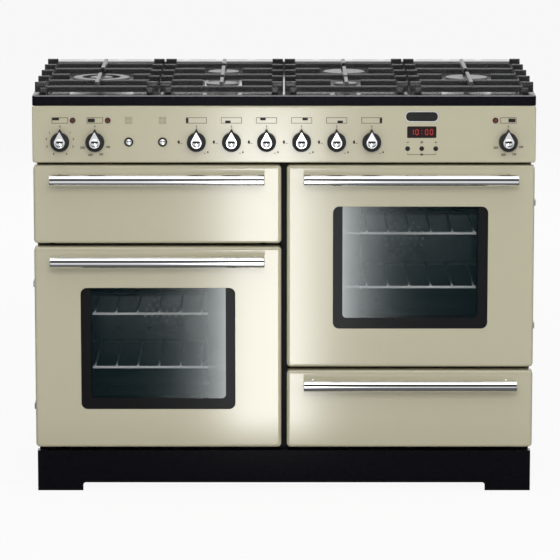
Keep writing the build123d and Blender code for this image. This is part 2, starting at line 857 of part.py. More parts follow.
def rear_panel():
    """Rear sheet with rows of louvres and holes for the gas inlet and the cable gland."""
    half = carcass_width / 2
    panel = block((-half, half), (rear_inner, rear), (base_rise, panel_top))
    through = (rear_inner - skin, rear + skin)
    louvres = []
    for column in range(louvre_columns):
        x = (column - (louvre_columns - 1) / 2) * (louvre_length + 2 * louvre_pitch)
        for row in range(louvre_rows):
            z = tall_right_z + (row - (louvre_rows - 1) / 2) * louvre_pitch
            louvres.append(prism(Pos(x, z) * SlotOverall(louvre_length, louvre_width), *through))
    panel -= louvres
    panel -= rod_y(inlet_radius + hole_clearance, supply_x(), through, knob_z)
    panel -= rod_y(gland_radius + hole_clearance, terminal_x, through, terminal_rise)
    return panel


def base_frame():
    """Folded base tray with holes for the levelling feet."""
    outer_y = (frame_back, rear_inner)
    tray = block((-side_inner, side_inner), outer_y, (base_rise, base_rise + base_wall))
    inner_x = side_inner - frame_sheet
    inner_y = (outer_y[0] + frame_sheet, outer_y[1] - frame_sheet)
    tray -= block((-inner_x, inner_x), inner_y, (base_rise + frame_sheet, base_rise + base_wall + skin))
    for x, y in foot_places():
        hole = (base_rise - skin, base_rise + 2 * frame_sheet)
        tray -= rod_z(foot_stem_radius + hole_clearance, x, y, hole)
    return tray


def foot_places():
    """Plan places of the four levelling feet."""
    x = side_inner - foot_inset_x
    rows = (frame_back + foot_inset_y, rear_inner - foot_inset_y)
    return [(side * x, y) for side in (-1, 1) for y in rows]


def levelling_foot(x, y):
    """Turned pad with a nut under the base floor and a threaded stem through it."""
    pad = Pos(x, y, foot_pad_height / 2) * Cone(foot_pad_radius, foot_nut_radius, foot_pad_height)
    hexagon = Pos(x, y) * RegularPolygon(foot_nut_radius, 6)
    nut = extrude(Plane.XY.offset(base_rise - foot_nut_height) * hexagon, foot_nut_height)
    stem = rod_z(foot_stem_radius, x, y, (foot_pad_height / 2, base_rise + base_wall / 2))
    return pad + nut + stem


def plinth():
    """Black kick plate standing on two end feet, folded back to the front frame."""
    half = plinth_width / 2
    outline = Rectangle(2 * half, plinth_height, align=(Align.CENTER, Align.MIN))
    arch = Rectangle(2 * (half - plinth_foot_width), 2 * plinth_arch)
    arch = fillet(arch.vertices(), plinth_arch_radius)
    plate = prism(outline - arch, plinth_front, plinth_front + skin)
    depth = (plinth_front, frame_front)
    plate += block((-half, half), depth, (plinth_height - skin, plinth_height))
    for side in (-1, 1):
        end = sorted((side * (half - skin), side * half))
        plate += block(end, depth, (0, plinth_height))
    return plate


def control_panel():
    """Enamelled fascia with every hole for knobs, buttons, lamps and the clock."""
    half = panel_width / 2
    z = (panel_bottom, panel_top)
    edges = (panel_corner_radius, panel_edge_radius)
    panel = pressed_tray((-half, half), z, panel_front, frame_front, *edges, skin)
    through = (panel_front - skin, panel_back + skin)
    for x in knob_places().values():
        panel -= rod_y(spindle_radius + 2 * hole_clearance, x, through, knob_z)
    for x in button_x:
        panel -= rod_y(button_radius + skin + hole_clearance, x, through, knob_z)
    for x in lamp_x:
        panel -= rod_y(lamp_stem_radius + hole_clearance, x, through, lamp_z)
    for x in timer_places():
        panel -= rod_y(timer_radius + hole_clearance, x, through, panel_bottom + timer_rise)
    return panel - prism(clock_outline(hole_clearance), *through)


def clock_outline(grow):
    """Rounded outline of the clock lens, grown by a clearance."""
    size = (clock_width + 2 * grow, clock_height + 2 * grow)
    return Pos(clock_x, panel_bottom + clock_rise) * RectangleRounded(*size, clock_lens_radius + grow)


def timer_places():
    """X places of the three clock buttons."""
    return [clock_x + i * timer_pitch for i in (-1, 0, 1)]


def clock_display():
    """Clock module behind the fascia, its lens through the window, with guides for its buttons."""
    top = panel_bottom + clock_rise + clock_height / 2 + clock_body_margin
    x = around(clock_x, clock_body_width)
    z = (top - clock_height - clock_body_margin - clock_body_drop, top)
    body = block(x, (panel_back, panel_back + clock_body_depth), z)
    body += prism(clock_outline(0), panel_front, panel_back)
    for place in timer_places():
        guide = (panel_back - skin, panel_back + timer_length + timer_travel)
        body -= rod_y(timer_radius + running_clearance, place, guide, panel_bottom + timer_rise)
    return body


def timer_button(x):
    """Small round clock button with a soft edge."""
    z = panel_bottom + timer_rise
    button = rod_y(timer_radius, x, (panel_front - timer_proud, panel_back + timer_length - skin), z)
    return fillet(button.faces().sort_by(Axis.Y)[0].edges(), timer_proud / 2)


def knob_places():
    """X place of every knob, by node name."""
    places = {"knob_grill": grill_knob_x, "knob_left_oven": left_oven_knob_x}
    for i, x in enumerate(burner_knob_x):
        places[f"knob_burner_{i + 1}"] = x
    places["knob_right_oven"] = right_oven_knob_x
    return places


def teardrop(radius, tip):
    """A circle drawn out to a point above it."""
    turn = asin(radius / tip)
    shoulder = (radius * cos(turn), radius * sin(turn))
    point = Polygon((0, tip), (-shoulder[0], shoulder[1]), (0, 0), shoulder, align=None)
    return Circle(radius) + point


def knob(x):
    """Round base with a teardrop grip, a crowned bright cap on it and the spindle behind."""
    place = Pos(x, knob_z)
    base_y = (panel_front - knob_gap - knob_base, panel_front - knob_gap)
    grip_front = base_y[0] - knob_grip
    base = rod_y(knob_radius, x, base_y, knob_z)
    base = fillet(base.faces().sort_by(Axis.Y)[0].edges(), knob_edge)
    grip = prism(place * teardrop(grip_radius, grip_tip), grip_front, base_y[1])
    body = base + grip
    cap_shape = teardrop(grip_radius - cap_inset, grip_tip - 2 * cap_inset)
    cap_front = grip_front - knob_cap
    cap = prism(place * cap_shape, cap_front, grip_front)
    cap = chamfer(cap.faces().sort_by(Axis.Y)[0].edges(), knob_edge / 2)
    ball = (cap_crown_radius**2 + cap_crown**2) / (2 * cap_crown)
    crown = Pos(x, cap_front + ball - cap_crown, knob_z) * Sphere(ball)
    cap += crown & block(around(x, 2 * ball), (cap_front - 2 * cap_crown, cap_front), around(knob_z, 2 * ball))
    spindle = rod_y(spindle_radius, x, (base_y[1], base_y[1] + spindle_length), knob_z)
    return [body, cap, spindle]


def bush(x, reach):
    """Bored neck between a tap or switch body and the back of the fascia."""
    return rod_y(spindle_radius + frame_sheet, x, (panel_back, panel_back + reach), knob_z)


def spindle_bore(x):
    """Running bore for a knob spindle."""
    bore = (panel_back - skin, panel_front - knob_gap + spindle_length + skin)
    return rod_y(spindle_radius + running_clearance, x, bore, knob_z)


def supply_x():
    """X place of the pipe from the rear inlet to the gas rail."""
    return burner_knob_x[-1] + rail_overhang


def gas_rail():
    """Gas rail with its supply pipe and rear inlet, and one tap behind each burner knob."""
    ends = (burner_knob_x[0] - rail_overhang, supply_x() + rail_radius)
    rail = rod_x(rail_radius, ends, rail_y, knob_z)
    rail += rod_y(supply_radius, supply_x(), (rail_y, inlet_end - inlet_bore_depth - skin), knob_z)
    rail += rod_y(inlet_radius, supply_x(), (inlet_end - inlet_length, inlet_end), knob_z)
    bore = (inlet_end - inlet_bore_depth, inlet_end + skin)
    rail -= rod_y(inlet_bore_radius, supply_x(), bore, knob_z)
    saddle = rod_x(rail_radius + saddle_clearance, ends, rail_y, knob_z)
    taps = []
    for x in burner_knob_x:
        body_y = (panel_back + tap_neck, rail_y)
        tap = block(around(x, tap_width), body_y, around(knob_z, tap_height))
        tap = chamfer(tap.edges().filter_by(Axis.Y), casting_edge)
        taps.append(tap + bush(x, tap_neck + skin) - spindle_bore(x) - saddle)
    return [rail] + taps


def control_switches():
    """Rotary switches behind the oven and grill knobs, and the two push switches with collars."""
    switches = []
    for x in (grill_knob_x, left_oven_knob_x, right_oven_knob_x):
        body_y = (panel_back + switch_neck, panel_back + switch_neck + switch_body_depth)
        body = block(around(x, switch_size), body_y, around(knob_z, switch_size))
        body = chamfer(body.edges().filter_by(Axis.Y), switch_edge)
        switches.append(body + bush(x, switch_neck + skin) - spindle_bore(x))
    for x in button_x:
        collar = (panel_front - button_collar_thickness, panel_front)
        body = rod_y(button_collar_radius, x, collar, knob_z)
        body = fillet(body.faces().sort_by(Axis.Y)[0].edges(), skin / 2)
        body += rod_y(button_radius + skin, x, (panel_front - skin, panel_back + skin), knob_z)
        body += rod_y(button_collar_radius, x, (panel_back, panel_back + switch_depth), knob_z)
        guide = (panel_front - 2 * button_proud, panel_back + switch_guide)
        switches.append(body - rod_y(button_radius + running_clearance, x, guide, knob_z))
    return switches


def push_button(x):
    """Domed push button that slides in its switch collar."""
    tip = panel_front - button_collar_thickness - button_proud
    stem_end = panel_back + switch_guide - button_travel - skin
    button = rod_y(button_radius, x, (tip, stem_end), knob_z)
    return fillet(button.faces().sort_by(Axis.Y)[0].edges(), button_dome)


def indicator_lamp(x):
    """Domed neon lens with its stem through the fascia."""
    lens = rod_y(lamp_radius, x, (panel_front - lamp_dome, panel_front), lamp_z)
    lens = fillet(lens.faces().sort_by(Axis.Y)[0].edges(), lamp_edge)
    stem = (panel_front - skin, panel_back + lamp_stem_length)
    return lens + rod_y(lamp_stem_radius, x, stem, lamp_z)


def hob_frame():
    """Black rim round the hotplate with an inner ledge that carries it."""
    half = panel_width / 2
    size = (2 * half, rear - panel_front)
    centre = (panel_front + rear) / 2
    outline = Pos(0, centre) * RectangleRounded(*size, rim_corner_radius)
    rim = extrude(Plane.XY.offset(panel_top) * outline, hob_rim_height)
    rim = fillet(rim.faces().sort_by(Axis.Z)[-1].edges(), rim_edge_radius)
    well_x = half - rim_wall
    well_y = (panel_front + rim_wall, rear - rim_rear)
    ledge_z = hotplate_top - hotplate_sheet
    rim -= block((-well_x, well_x), well_y, (ledge_z, rim_top + skin))
    hole_y = (well_y[0] + rim_ledge, well_y[1] - rim_ledge)
    rim -= block((rim_ledge - well_x, well_x - rim_ledge), hole_y, (panel_top - skin, rim_top))
    return rim


def hotplate():
    """Pressed steel hotplate with shallow bowls, burner holes and a vented rear upstand."""
    half = panel_width / 2 - rim_wall - hotplate_edge_gap
    y = (panel_front + rim_wall + hotplate_edge_gap, rear - rim_rear - hotplate_edge_gap)
    sheet_z = (hotplate_top - hotplate_sheet, hotplate_top)
    plate = block((-half, half), y, sheet_z)
    top = hotplate_top + upstand_height
    upstand = block((-half, half), (y[1] - upstand_depth, y[1]), (sheet_z[0], top))
    upstand = fillet(upstand.edges().filter_by(Axis.X).sort_by(Axis.Z)[-2:], rim_edge_radius)
    room_y = (y[1] - upstand_depth + hotplate_sheet, y[1] - hotplate_sheet)
    room_z = (sheet_z[0] - skin, top - hotplate_sheet)
    room_x = half - hotplate_sheet
    plate = plate + upstand - block((-room_x, room_x), room_y, room_z)
    count = int(2 * room_x // vent_slot_pitch)
    slots = []
    for i in range(count):
        slot_x = (i - (count - 1) / 2) * vent_slot_pitch
        slot = Pos(slot_x, y[1] - upstand_depth / 2) * SlotOverall(vent_slot_length, vent_slot_width)
        slots.append(extrude(Plane.XY.offset(top - 2 * hotplate_sheet) * slot, 3 * hotplate_sheet))
    bowl_z = (hotplate_top - bowl_depth, hotplate_top + skin)
    for x, centre_y, radius in burners:
        slots.append(rod_z(radius + bowl_margin, x, centre_y, bowl_z))
        throat = burner_throat(radius) + hole_clearance
        slots.append(rod_z(throat, x, centre_y, (sheet_z[0] - skin, rim_top)))
    return plate - slots


def burner_throat(radius):
    """Radius of the burner cup that drops through the hotplate."""
    return radius - throat_step


def burner_body(x, y, radius):
    """Cast burner: cup and jet holder under the plate, flange on it, ported crown above."""
    seat = hotplate_top - bowl_depth
    crown_z = (seat + burner_flange, seat + burner_flange + burner_crown)
    body = rod_z(radius, x, y, (seat, crown_z[0]))
    body += rod_z(burner_throat(radius), x, y, (seat - burner_crown, seat))
    body += rod_z(jet_radius, x, y, (seat - jet_length, seat))
    crown = rod_z(radius - burner_flange, x, y, crown_z)
    if radius == wok_radius:
        moat = rod_z(wok_ring_inner, x, y, (crown_z[0], crown_z[1] + skin))
        crown -= moat - rod_z(wok_core_radius, x, y, crown_z)
    outer = radius - burner_flange
    count = int(2 * pi * outer // port_pitch)
    port_z = (crown_z[0] + skin, crown_z[1] - skin)
    port = block((outer - port_depth, outer + skin), around(0, port_width), port_z)
    ports = [Pos(x, y, 0) * Rot(0, 0, 360 * i / count) * port for i in range(count)]
    return body + (crown - ports)


def burner_caps_of(x, y, radius):
    """Enamelled cap of a burner, or the ring and the core cap of the wok burner."""
    low = hotplate_top - bowl_depth + burner_flange + burner_crown
    cap = rod_z(radius - burner_flange + cap_overhang, x, y, (low, low + burner_cap))
    cap = fillet(cap.faces().sort_by(Axis.Z)[-1].edges(), burner_cap_edge)
    if radius != wok_radius:
        return [cap]
    cap -= rod_z(wok_ring_inner - cap_overhang, x, y, (low - skin, low + 2 * burner_cap))
    core = rod_z(wok_core_radius + cap_overhang, x, y, (low, low + burner_cap))
    return [cap, fillet(core.faces().sort_by(Axis.Z)[-1].edges(), burner_cap_edge)]


def electrode(x, y, radius):
    """Ceramic spark electrode standing beside a burner."""
    seat = hotplate_top - bowl_depth
    turn = radians(electrode_turn)
    reach = radius + electrode_gap + electrode_radius
    place = (x + reach * cos(turn), y + reach * sin(turn))
    body = rod_z(electrode_radius, *place, (seat, seat + burner_crown))
    return body + rod_z(electrode_wire, *place, (seat, seat + burner_flange + burner_crown))


def tapered_bar(length):
    """Cast bar along X, narrower at the top, with its top at height zero."""
    low = bar_width / 2
    high = (bar_width - bar_taper) / 2
    profile = Polygon((-low, -bar_height), (low, -bar_height), (high, 0), (-high, 0), align=None)
    section = Plane(origin=(-length / 2, 0, 0), x_dir=(0, 1, 0), z_dir=(1, 0, 0)) * profile
    return extrude(section, length)


def finger_spans(index):
    """Places of the burners along the spine of one support, as depth and crown radius."""
    half = support_width / 2
    return [(y, radius) for x, y, radius in burners if abs(x - support_x[index]) < half]


def pan_support(index):
    """Cast-iron support: five cross bars, end lugs, side rails, a broken spine and feet."""
    centre = support_x[index]
    under = finger_spans(index)
    iron = []
    for y in bar_y_places:
        bar = Pos(centre, y, bar_top) * tapered_bar(support_width)
        for burner_y, radius in under:
            if abs(burner_y - y) < bar_pitch / 2:
                wide = 2 * (radius + finger_clear)
                room_y = around(y, 2 * bar_width)
                bar -= block(around(centre, wide), room_y, (hotplate_top, support_top))
        iron.append(bar)
        for side in (-1, 1):
            outer = centre + side * support_width / 2
            lug_x = sorted((outer, outer - side * lug_length))
            lug_y = around(y, bar_width - bar_taper)
            iron.append(block(lug_x, lug_y, (bar_top - bar_taper, support_top)))
    rail_reach = support_width / 2 - lug_length + bar_width / 2
    for side in (-1, 1):
        rail_x = centre + side * rail_reach
        rail = Pos(rail_x, support_front + support_depth / 2, bar_top - bar_taper) * Rot(0, 0, 90)
        iron.append(rail * tapered_bar(support_depth - bar_width))
    edges = [bar_y_places[0]]
    for burner_y, radius in sorted(under):
        clear = radius - finger_reach
        edges += [burner_y - clear, burner_y + clear]
    edges.append(bar_y_places[-1])
    for start, end in zip(edges[0::2], edges[1::2]):
        spine = Pos(centre, (start + end) / 2, support_top) * Rot(0, 0, 90) * tapered_bar(end - start)
        iron.append(spine)
    for side in (-1, 1):
        for y in (bar_y_places[0], bar_y_places[-1]):
            foot_x = around(centre + side * rail_reach, foot_size)
            iron.append(block(foot_x, around(y, bar_width), (hotplate_top, bar_top - bar_taper)))
    return iron[0].fuse(*iron[1:])


def terminal_box():
    """Mains terminal housing inside the rear panel, its cable gland through the sheet."""
    x = around(terminal_x, terminal_width)
    z = around(terminal_rise, terminal_height)
    box = block(x, (rear_inner - terminal_depth, rear_inner), z)
    box -= block(
        (x[0] + skin, x[1] - skin),
        (rear_inner - terminal_depth + skin, rear_inner - skin),
        (z[0] + skin, z[1] - skin),
    )
    gland_end = rear + gland_proud
    box += rod_y(gland_radius, terminal_x, (rear_inner - 2 * skin, gland_end), terminal_rise)
    bore = (rear_inner - 4 * skin, gland_end + skin)
    return box - rod_y(gland_bore_radius, terminal_x, bore, terminal_rise)


def assembly():
    """Every node of the cooker: its name and its solid or solids."""
    nodes = {
        "base_frame": base_frame(),
        "side_panel_left": side_panel(-1),
        "side_panel_right": side_panel(1),
        "rear_panel": rear_panel(),
        "front_frame": front_frame(),
        "plinth": plinth(),
        "levelling_feet": [levelling_foot(x, y) for x, y in foot_places()],
        "hob_frame": hob_frame(),
        "hotplate": hotplate(),
        "gas_rail": gas_rail(),
        "control_panel": control_panel(),
        "control_switches": control_switches(),
        "clock_display": clock_display(),
        "indicator_lamps": [indicator_lamp(x) for x in lamp_x],
        "oven_liner_left": oven_liner(-1, tall_left_z),
        "oven_liner_right": oven_liner(1, tall_right_z),
        "grill_liner": grill_liner(),
        "terminal_box": terminal_box(),
        "drawer_front": drawer_front(),
        "drawer_box": drawer_box(),
        "drawer_handle": handle(1, short_right_z + short_front_height / 2),
        "grill_door_panel": grill_door_panel(),
        "grill_door_liner": grill_door_liner(),
        "grill_door_handle": handle(-1, short_left_z + short_front_height / 2),
        "grill_pan": grill_pan(),
        "slide_runners": [drawer_runner(-1), drawer_runner(1), grill_runner(-1), grill_runner(1)],
        "light_button": push_button(button_x[0]),
        "spark_button": push_button(button_x[1]),
    }
    ovens = ((-1, tall_left_z, "left"), (1, tall_right_z, "right"))
    racks, fans = [], []
    elements = [grill_element()]
    hinges = [drop_hinge(x) for x in drop_arm_places()]
    for side, centre_z, name in ovens:
        nodes[f"{name}_door_panel"] = tall_door_panel(side, centre_z)
        nodes[f"{name}_door_glass"] = tall_door_glass(side, centre_z)
        nodes[f"{name}_door_liner"] = tall_door_liner(side, centre_z)
        nodes[f"{name}_door_handle"] = handle(side, centre_z + tall_door_height / 2)
        nodes[f"fan_{name}"] = oven_fan(side, centre_z)
        racks += [oven_shelf(side, centre_z + level) for level in (shelf_upper, shelf_lower)]
        fans += [fan_cover(side, centre_z), fan_motor(side, centre_z)]
        elements.append(ring_element(side, centre_z))
        hinges += [swing_hinge(side, z) for z in hinge_heights(centre_z)]
    nodes["oven_racks"] = racks
    nodes["oven_fan_housings"] = fans
    nodes["heating_elements"] = elements
    nodes["hinge_brackets"] = hinges
    bodies, caps = [], []
    for x, y, radius in burners:
        bodies += [burner_body(x, y, radius), electrode(x, y, radius)]
        caps += burner_caps_of(x, y, radius)
    nodes["burner_bodies"] = bodies
    nodes["burner_caps"] = caps
    for name, x in knob_places().items():
        nodes[name] = knob(x)
    for i, x in enumerate(timer_places()):
        nodes[f"timer_button_{i + 1}"] = timer_button(x)
    for i in range(support_count):
        nodes[f"pan_support_{i + 1}"] = pan_support(i)
    return nodes


os.makedirs("parts", exist_ok=True)
for name, shape in assembly().items():
    pieces = shape if isinstance(shape, list) else [shape]
    solids = [solid for piece in pieces for solid in piece.solids()]
    export_step(Compound(children=solids) if len(solids) > 1 else solids[0], f"parts/{name}.step")
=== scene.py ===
"""Finishes, printed marks, seals, screws and studio for a dual fuel range cooker."""

import json
import math

import bmesh
import bpy
from bpy.props import FloatProperty, FloatVectorProperty, PointerProperty, StringProperty
from mathutils import Matrix, Vector


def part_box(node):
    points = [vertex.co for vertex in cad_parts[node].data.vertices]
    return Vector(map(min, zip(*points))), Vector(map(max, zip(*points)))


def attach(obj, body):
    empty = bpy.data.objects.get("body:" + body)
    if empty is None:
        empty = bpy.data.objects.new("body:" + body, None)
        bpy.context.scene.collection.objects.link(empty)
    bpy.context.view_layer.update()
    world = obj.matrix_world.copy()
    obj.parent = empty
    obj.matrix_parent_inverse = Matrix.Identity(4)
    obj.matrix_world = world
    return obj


bl_info = {
    "name": "Range Cooker Dressing",
    "version": (1, 0, 0),
    "blender": (4, 5, 0),
    "location": "View3D > Sidebar > Cooker",
    "description": "Finishes, marks, seals and studio for a dual fuel range cooker",
    "category": "Object",
}

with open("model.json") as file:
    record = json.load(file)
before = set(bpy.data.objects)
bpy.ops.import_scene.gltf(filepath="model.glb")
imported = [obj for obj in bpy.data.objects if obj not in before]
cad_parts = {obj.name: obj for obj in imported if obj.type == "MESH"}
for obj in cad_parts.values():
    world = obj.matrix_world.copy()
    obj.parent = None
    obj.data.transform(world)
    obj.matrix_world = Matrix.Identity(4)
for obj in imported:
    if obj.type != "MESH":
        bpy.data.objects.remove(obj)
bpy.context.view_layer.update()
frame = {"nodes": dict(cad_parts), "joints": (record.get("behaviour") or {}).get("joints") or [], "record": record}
NODES = frame["nodes"]
MM = 0.001

FASCIA_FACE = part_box("control_panel")[0].y
LENS_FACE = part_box("clock_display")[0].y
KNOB_NODES = sorted(name for name in NODES if name.startswith("knob_"))
GAS_KNOBS = [name for name in KNOB_NODES if name.startswith("knob_burner")]
CLOCK_BUTTON = "timer_button_2"
SCREW_EDGE = 9.0 * MM


def centre_of(node):
    """Middle of a CAD node's box at rest."""
    low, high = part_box(node)
    return (low + high) / 2


def joint_named(name):
    """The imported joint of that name."""
    return next(joint for joint in frame["joints"] if joint["name"] == name)


def knob_centre(node):
    """The point where a knob's spindle passes through the fascia."""
    return Vector(joint_named(node + "_turn")["pos_m"])


def new_object(name, data):
    """An object in the scene."""
    made = bpy.data.objects.new(name, data)
    bpy.context.scene.collection.objects.link(made)
    return made


def colour_setting(name, description, default):
    """A colour that a user can change."""
    return FloatVectorProperty(
        name=name, description=description, subtype="COLOR", size=4,
        default=(*default, 1.0), min=0.0, max=1.0,
    )


def length_setting(name, description, default):
    """A length that a user can change."""
    return FloatProperty(name=name, description=description, unit="LENGTH", default=default)


def power_setting(name, description, default):
    """The power of a light."""
    return FloatProperty(name=name, description=description, subtype="POWER", default=default)


class CookerFinishes(bpy.types.PropertyGroup):
    """Colours of the cooker's surfaces and the tint of its glass."""

    cream: colour_setting("Cream enamel", "Enamel of the doors, drawer and fascia", (0.50, 0.468, 0.335))
    black: colour_setting("Black enamel", "Enamel of the plinth and the hob rim", (0.005, 0.005, 0.007))
    iron: colour_setting("Cast iron", "Iron of the pan supports and burner caps", (0.013, 0.013, 0.014))
    steel: colour_setting("Brushed steel", "Hotplate sheet", (0.60, 0.60, 0.59))
    chrome: colour_setting("Chrome", "Plated bars, knob caps, buttons and shelves", (0.84, 0.85, 0.86))
    skirt: colour_setting("Knob skirts", "Dark plating of the knobs", (0.050, 0.049, 0.051))
    ink: colour_setting("Printing ink", "Marks printed on the fascia", (0.012, 0.011, 0.010))
    digits: colour_setting("Clock digits", "Lit segments of the clock", (0.80, 0.030, 0.020))
    glass_tint: FloatProperty(
        name="Window tint", description="How much of the view each face of the oven glass holds back",
        subtype="FACTOR", default=0.05, min=0.0, max=1.0,
    )


class CookerMarks(bpy.types.PropertyGroup):
    """Sizes of the printed marks and small fittings."""

    ink_depth: length_setting("Ink thickness", "How far a print stands on the fascia", 0.08 * MM)
    line: length_setting("Line width", "Width of a printed line", 1.0 * MM)
    label_rise: length_setting("Label height", "Height of the pictograms above the knob centres", 47.0 * MM)
    numeral: length_setting("Numeral height", "Size of the dial numerals", 6.6 * MM)
    dial_radius: length_setting("Dial radius", "Distance of the numerals from the knob centre", 30.0 * MM)
    flame: length_setting("Flame height", "Height of the large flame mark", 8.0 * MM)
    plate_size: FloatVectorProperty(
        name="Blank plate", description="Width, height and thickness of the blank plate", unit="LENGTH",
        size=3, default=(72.0 * MM, 23.0 * MM, 1.4 * MM),
    )
    seal_radius: length_setting("Seal radius", "Thickness of the oven door seals", 3.2 * MM)
    screw_radius: length_setting("Screw radius", "Flange radius of the panel screws", 5.0 * MM)
    cast_edge: length_setting("Cast edge", "Rounding of the pan supports' edges", 1.5 * MM)
    time: StringProperty(name="Time shown", description="Digits shown by the clock", default="10:00")


class CookerStage(bpy.types.PropertyGroup):
    """Camera and light of the studio."""

    camera_distance: length_setting("Camera distance", "From the door fronts", 8.0)
    camera_height: length_setting("Camera height", "Above the floor", 1.8247)
    camera_tilt: FloatProperty(
        name="Camera tilt", description="Below the horizon", subtype="ANGLE", default=math.radians(9.58),
    )
    camera_side: length_setting("Camera side step", "To the right of the cooker's middle", -8.8 * MM)
    lens: FloatProperty(
        name="Focal length", description="In millimetres", subtype="DISTANCE_CAMERA", default=238.95,
    )
    sky: FloatProperty(name="Sky", description="Strength of the light from all round", default=0.20, min=0.0)
    key: power_setting("Key light", "Power of the overhead softbox", 30.0)
    fill_left: power_setting("Left fill", "Power of the left softbox", 15.0)
    fill_right: power_setting("Right fill", "Power of the right softbox", 34.0)
    front: power_setting("Front light", "Power of the softbox by the camera", 124.0)
    back: power_setting("Back light", "Power of the softbox behind the cooker", 60.0)
    glow: FloatProperty(
        name="Floor glow", description="Strength of the bright strip on the floor", default=10.0, min=0.0,
    )
    glow_width: length_setting("Glow width", "Half width of the bright strip", 0.10)
    glow_side: length_setting("Glow side step", "To the right of the cooker's middle", -31.0 * MM)


def settings():
    """The three property groups of the scene."""
    scene = bpy.context.scene
    return scene.cooker_finishes, scene.cooker_marks, scene.cooker_stage


class Value:
    """A node output whose arithmetic adds Math nodes."""

    def __init__(self, paint, socket):
        self.paint = paint
        self.socket = socket

    def math(self, operation, first, second=0.0):
        return self.paint.node("ShaderNodeMath", {"operation": operation}, {0: first, 1: second})

    def __add__(self, other):
        return self.math("ADD", self, other)

    def __radd__(self, other):
        return self.math("ADD", other, self)

    def __sub__(self, other):
        return self.math("SUBTRACT", self, other)

    def __rsub__(self, other):
        return self.math("SUBTRACT", other, self)

    def __mul__(self, other):
        return self.math("MULTIPLY", self, other)

    def __rmul__(self, other):
        return self.math("MULTIPLY", other, self)

    def __truediv__(self, other):
        return self.math("DIVIDE", self, other)

    def __rtruediv__(self, other):
        return self.math("DIVIDE", other, self)

    def __gt__(self, other):
        return self.math("GREATER_THAN", self, other)

    def __lt__(self, other):
        return self.math("LESS_THAN", self, other)

    def __abs__(self):
        return self.math("ABSOLUTE", self)

    def at_least(self, other):
        return self.math("MAXIMUM", self, other)


class Paint:
    """The nodes of a material or a world under construction."""

    def __init__(self, owner):
        owner.use_nodes = True
        self.owner = owner
        self.tree = owner.node_tree
        self.tree.nodes.clear()

    def node(self, kind, options=None, sockets=None, output=0):
        """Adds a node: its settings first, then the values or links of its sockets."""
        made = self.tree.nodes.new(kind)
        for key, value in (options or {}).items():
            if key == "stops":
                self.set_stops(made.color_ramp, value)
            else:
                setattr(made, key, value)
        for key, value in (sockets or {}).items():
            if isinstance(value, Value):
                self.tree.links.new(value.socket, made.inputs[key])
            else:
                made.inputs[key].default_value = value
        return Value(self, made.outputs[output]) if len(made.outputs) else None

    @staticmethod
    def set_stops(ramp, stops):
        """Gives a ramp its stops as places and grey levels."""
        while len(ramp.elements) < len(stops):
            ramp.elements.new(1.0)
        for element, (place, level) in zip(ramp.elements, stops):
            element.position = place
            element.color = (level, level, level, 1.0)

    def coords(self):
        """The place on the surface in the cooker's frame."""
        return self.node("ShaderNodeTexCoord", output="Object")

    def axes(self):
        """X, Y and Z of the surface in the cooker's frame."""
        split = self.node("ShaderNodeSeparateXYZ", {}, {0: self.coords()})
        return [Value(self, socket) for socket in split.socket.node.outputs]

    def rays(self, *names):
        """1 for rays of each named kind, otherwise 0."""
        path = self.node("ShaderNodeLightPath").socket.node
        return [Value(self, path.outputs[name]) for name in names]

    def stretched(self, scale):
        return self.node("ShaderNodeVectorMath", {"operation": "MULTIPLY"}, {0: self.coords(), 1: scale})

    def noise(self, scale, detail=2.0, vector=None):
        place = vector or self.coords()
        return self.node("ShaderNodeTexNoise", {}, {"Vector": place, "Scale": scale, "Detail": detail}, "Fac")

    def cells(self, scale, output="Distance"):
        return self.node("ShaderNodeTexVoronoi", {}, {"Vector": self.coords(), "Scale": scale}, output)

    def ramp(self, value, stops):
        return self.node("ShaderNodeValToRGB", {"stops": stops}, {"Fac": value})

    def mix(self, first, second, factor):
        return self.node("ShaderNodeMix", {"data_type": "RGBA"}, {0: factor, 6: first, 7: second}, 2)

    def tones(self, colour, first, second, factor):
        """A mix of two tones of one colour."""
        return self.mix(shade(colour, first), shade(colour, second), factor)

    def blend(self, first, second, factor):
        """A mix of two shaders."""
        return self.node("ShaderNodeMixShader", {}, {0: factor, 1: first, 2: second})

    def bump(self, height, depth, strength=1.0, base=None):
        """A bump on the surface's own normals, or on the base normals."""
        sockets = {"Height": height, "Distance": depth, "Strength": strength}
        if base is not None:
            sockets["Normal"] = base
        return self.node("ShaderNodeBump", {}, sockets, "Normal")

    def soft_edge(self, reach):
        """Normals that turn gently over an edge."""
        return self.node("ShaderNodeBevel", {"samples": 6}, {"Radius": reach}, "Normal")

    def show(self, shader, output="ShaderNodeOutputMaterial"):
        """Ends the tree with a shader and returns what it belongs to."""
        self.node(output, {}, {"Surface": shader})
        return self.owner

    def surface(self, sockets):
        """Ends a material with a Principled surface and returns the material."""
        return self.show(self.node("ShaderNodeBsdfPrincipled", {}, sockets))


def new_paint(name):
    """The paint of a fresh material."""
    return Paint(bpy.data.materials.new(name))


def shade(colour, factor):
    """A colour made lighter or darker."""
    return (colour[0] * factor, colour[1] * factor, colour[2] * factor, 1.0)


def cream_enamel(name, colour):
    """Glossy vitreous enamel with a faint drift of tone and an orange-peel surface."""
    paint = new_paint(name)
    drift = paint.noise(2.5, 3.0)
    return paint.surface({
        "Base Color": paint.tones(colour, 0.97, 1.03, drift),
        "Roughness": 0.06 + 0.04 * paint.noise(35.0, 4.0),
        "IOR": 1.62,
        "Normal": paint.bump(paint.noise(240.0, 2.0), 0.05 * MM, 0.25),
    })


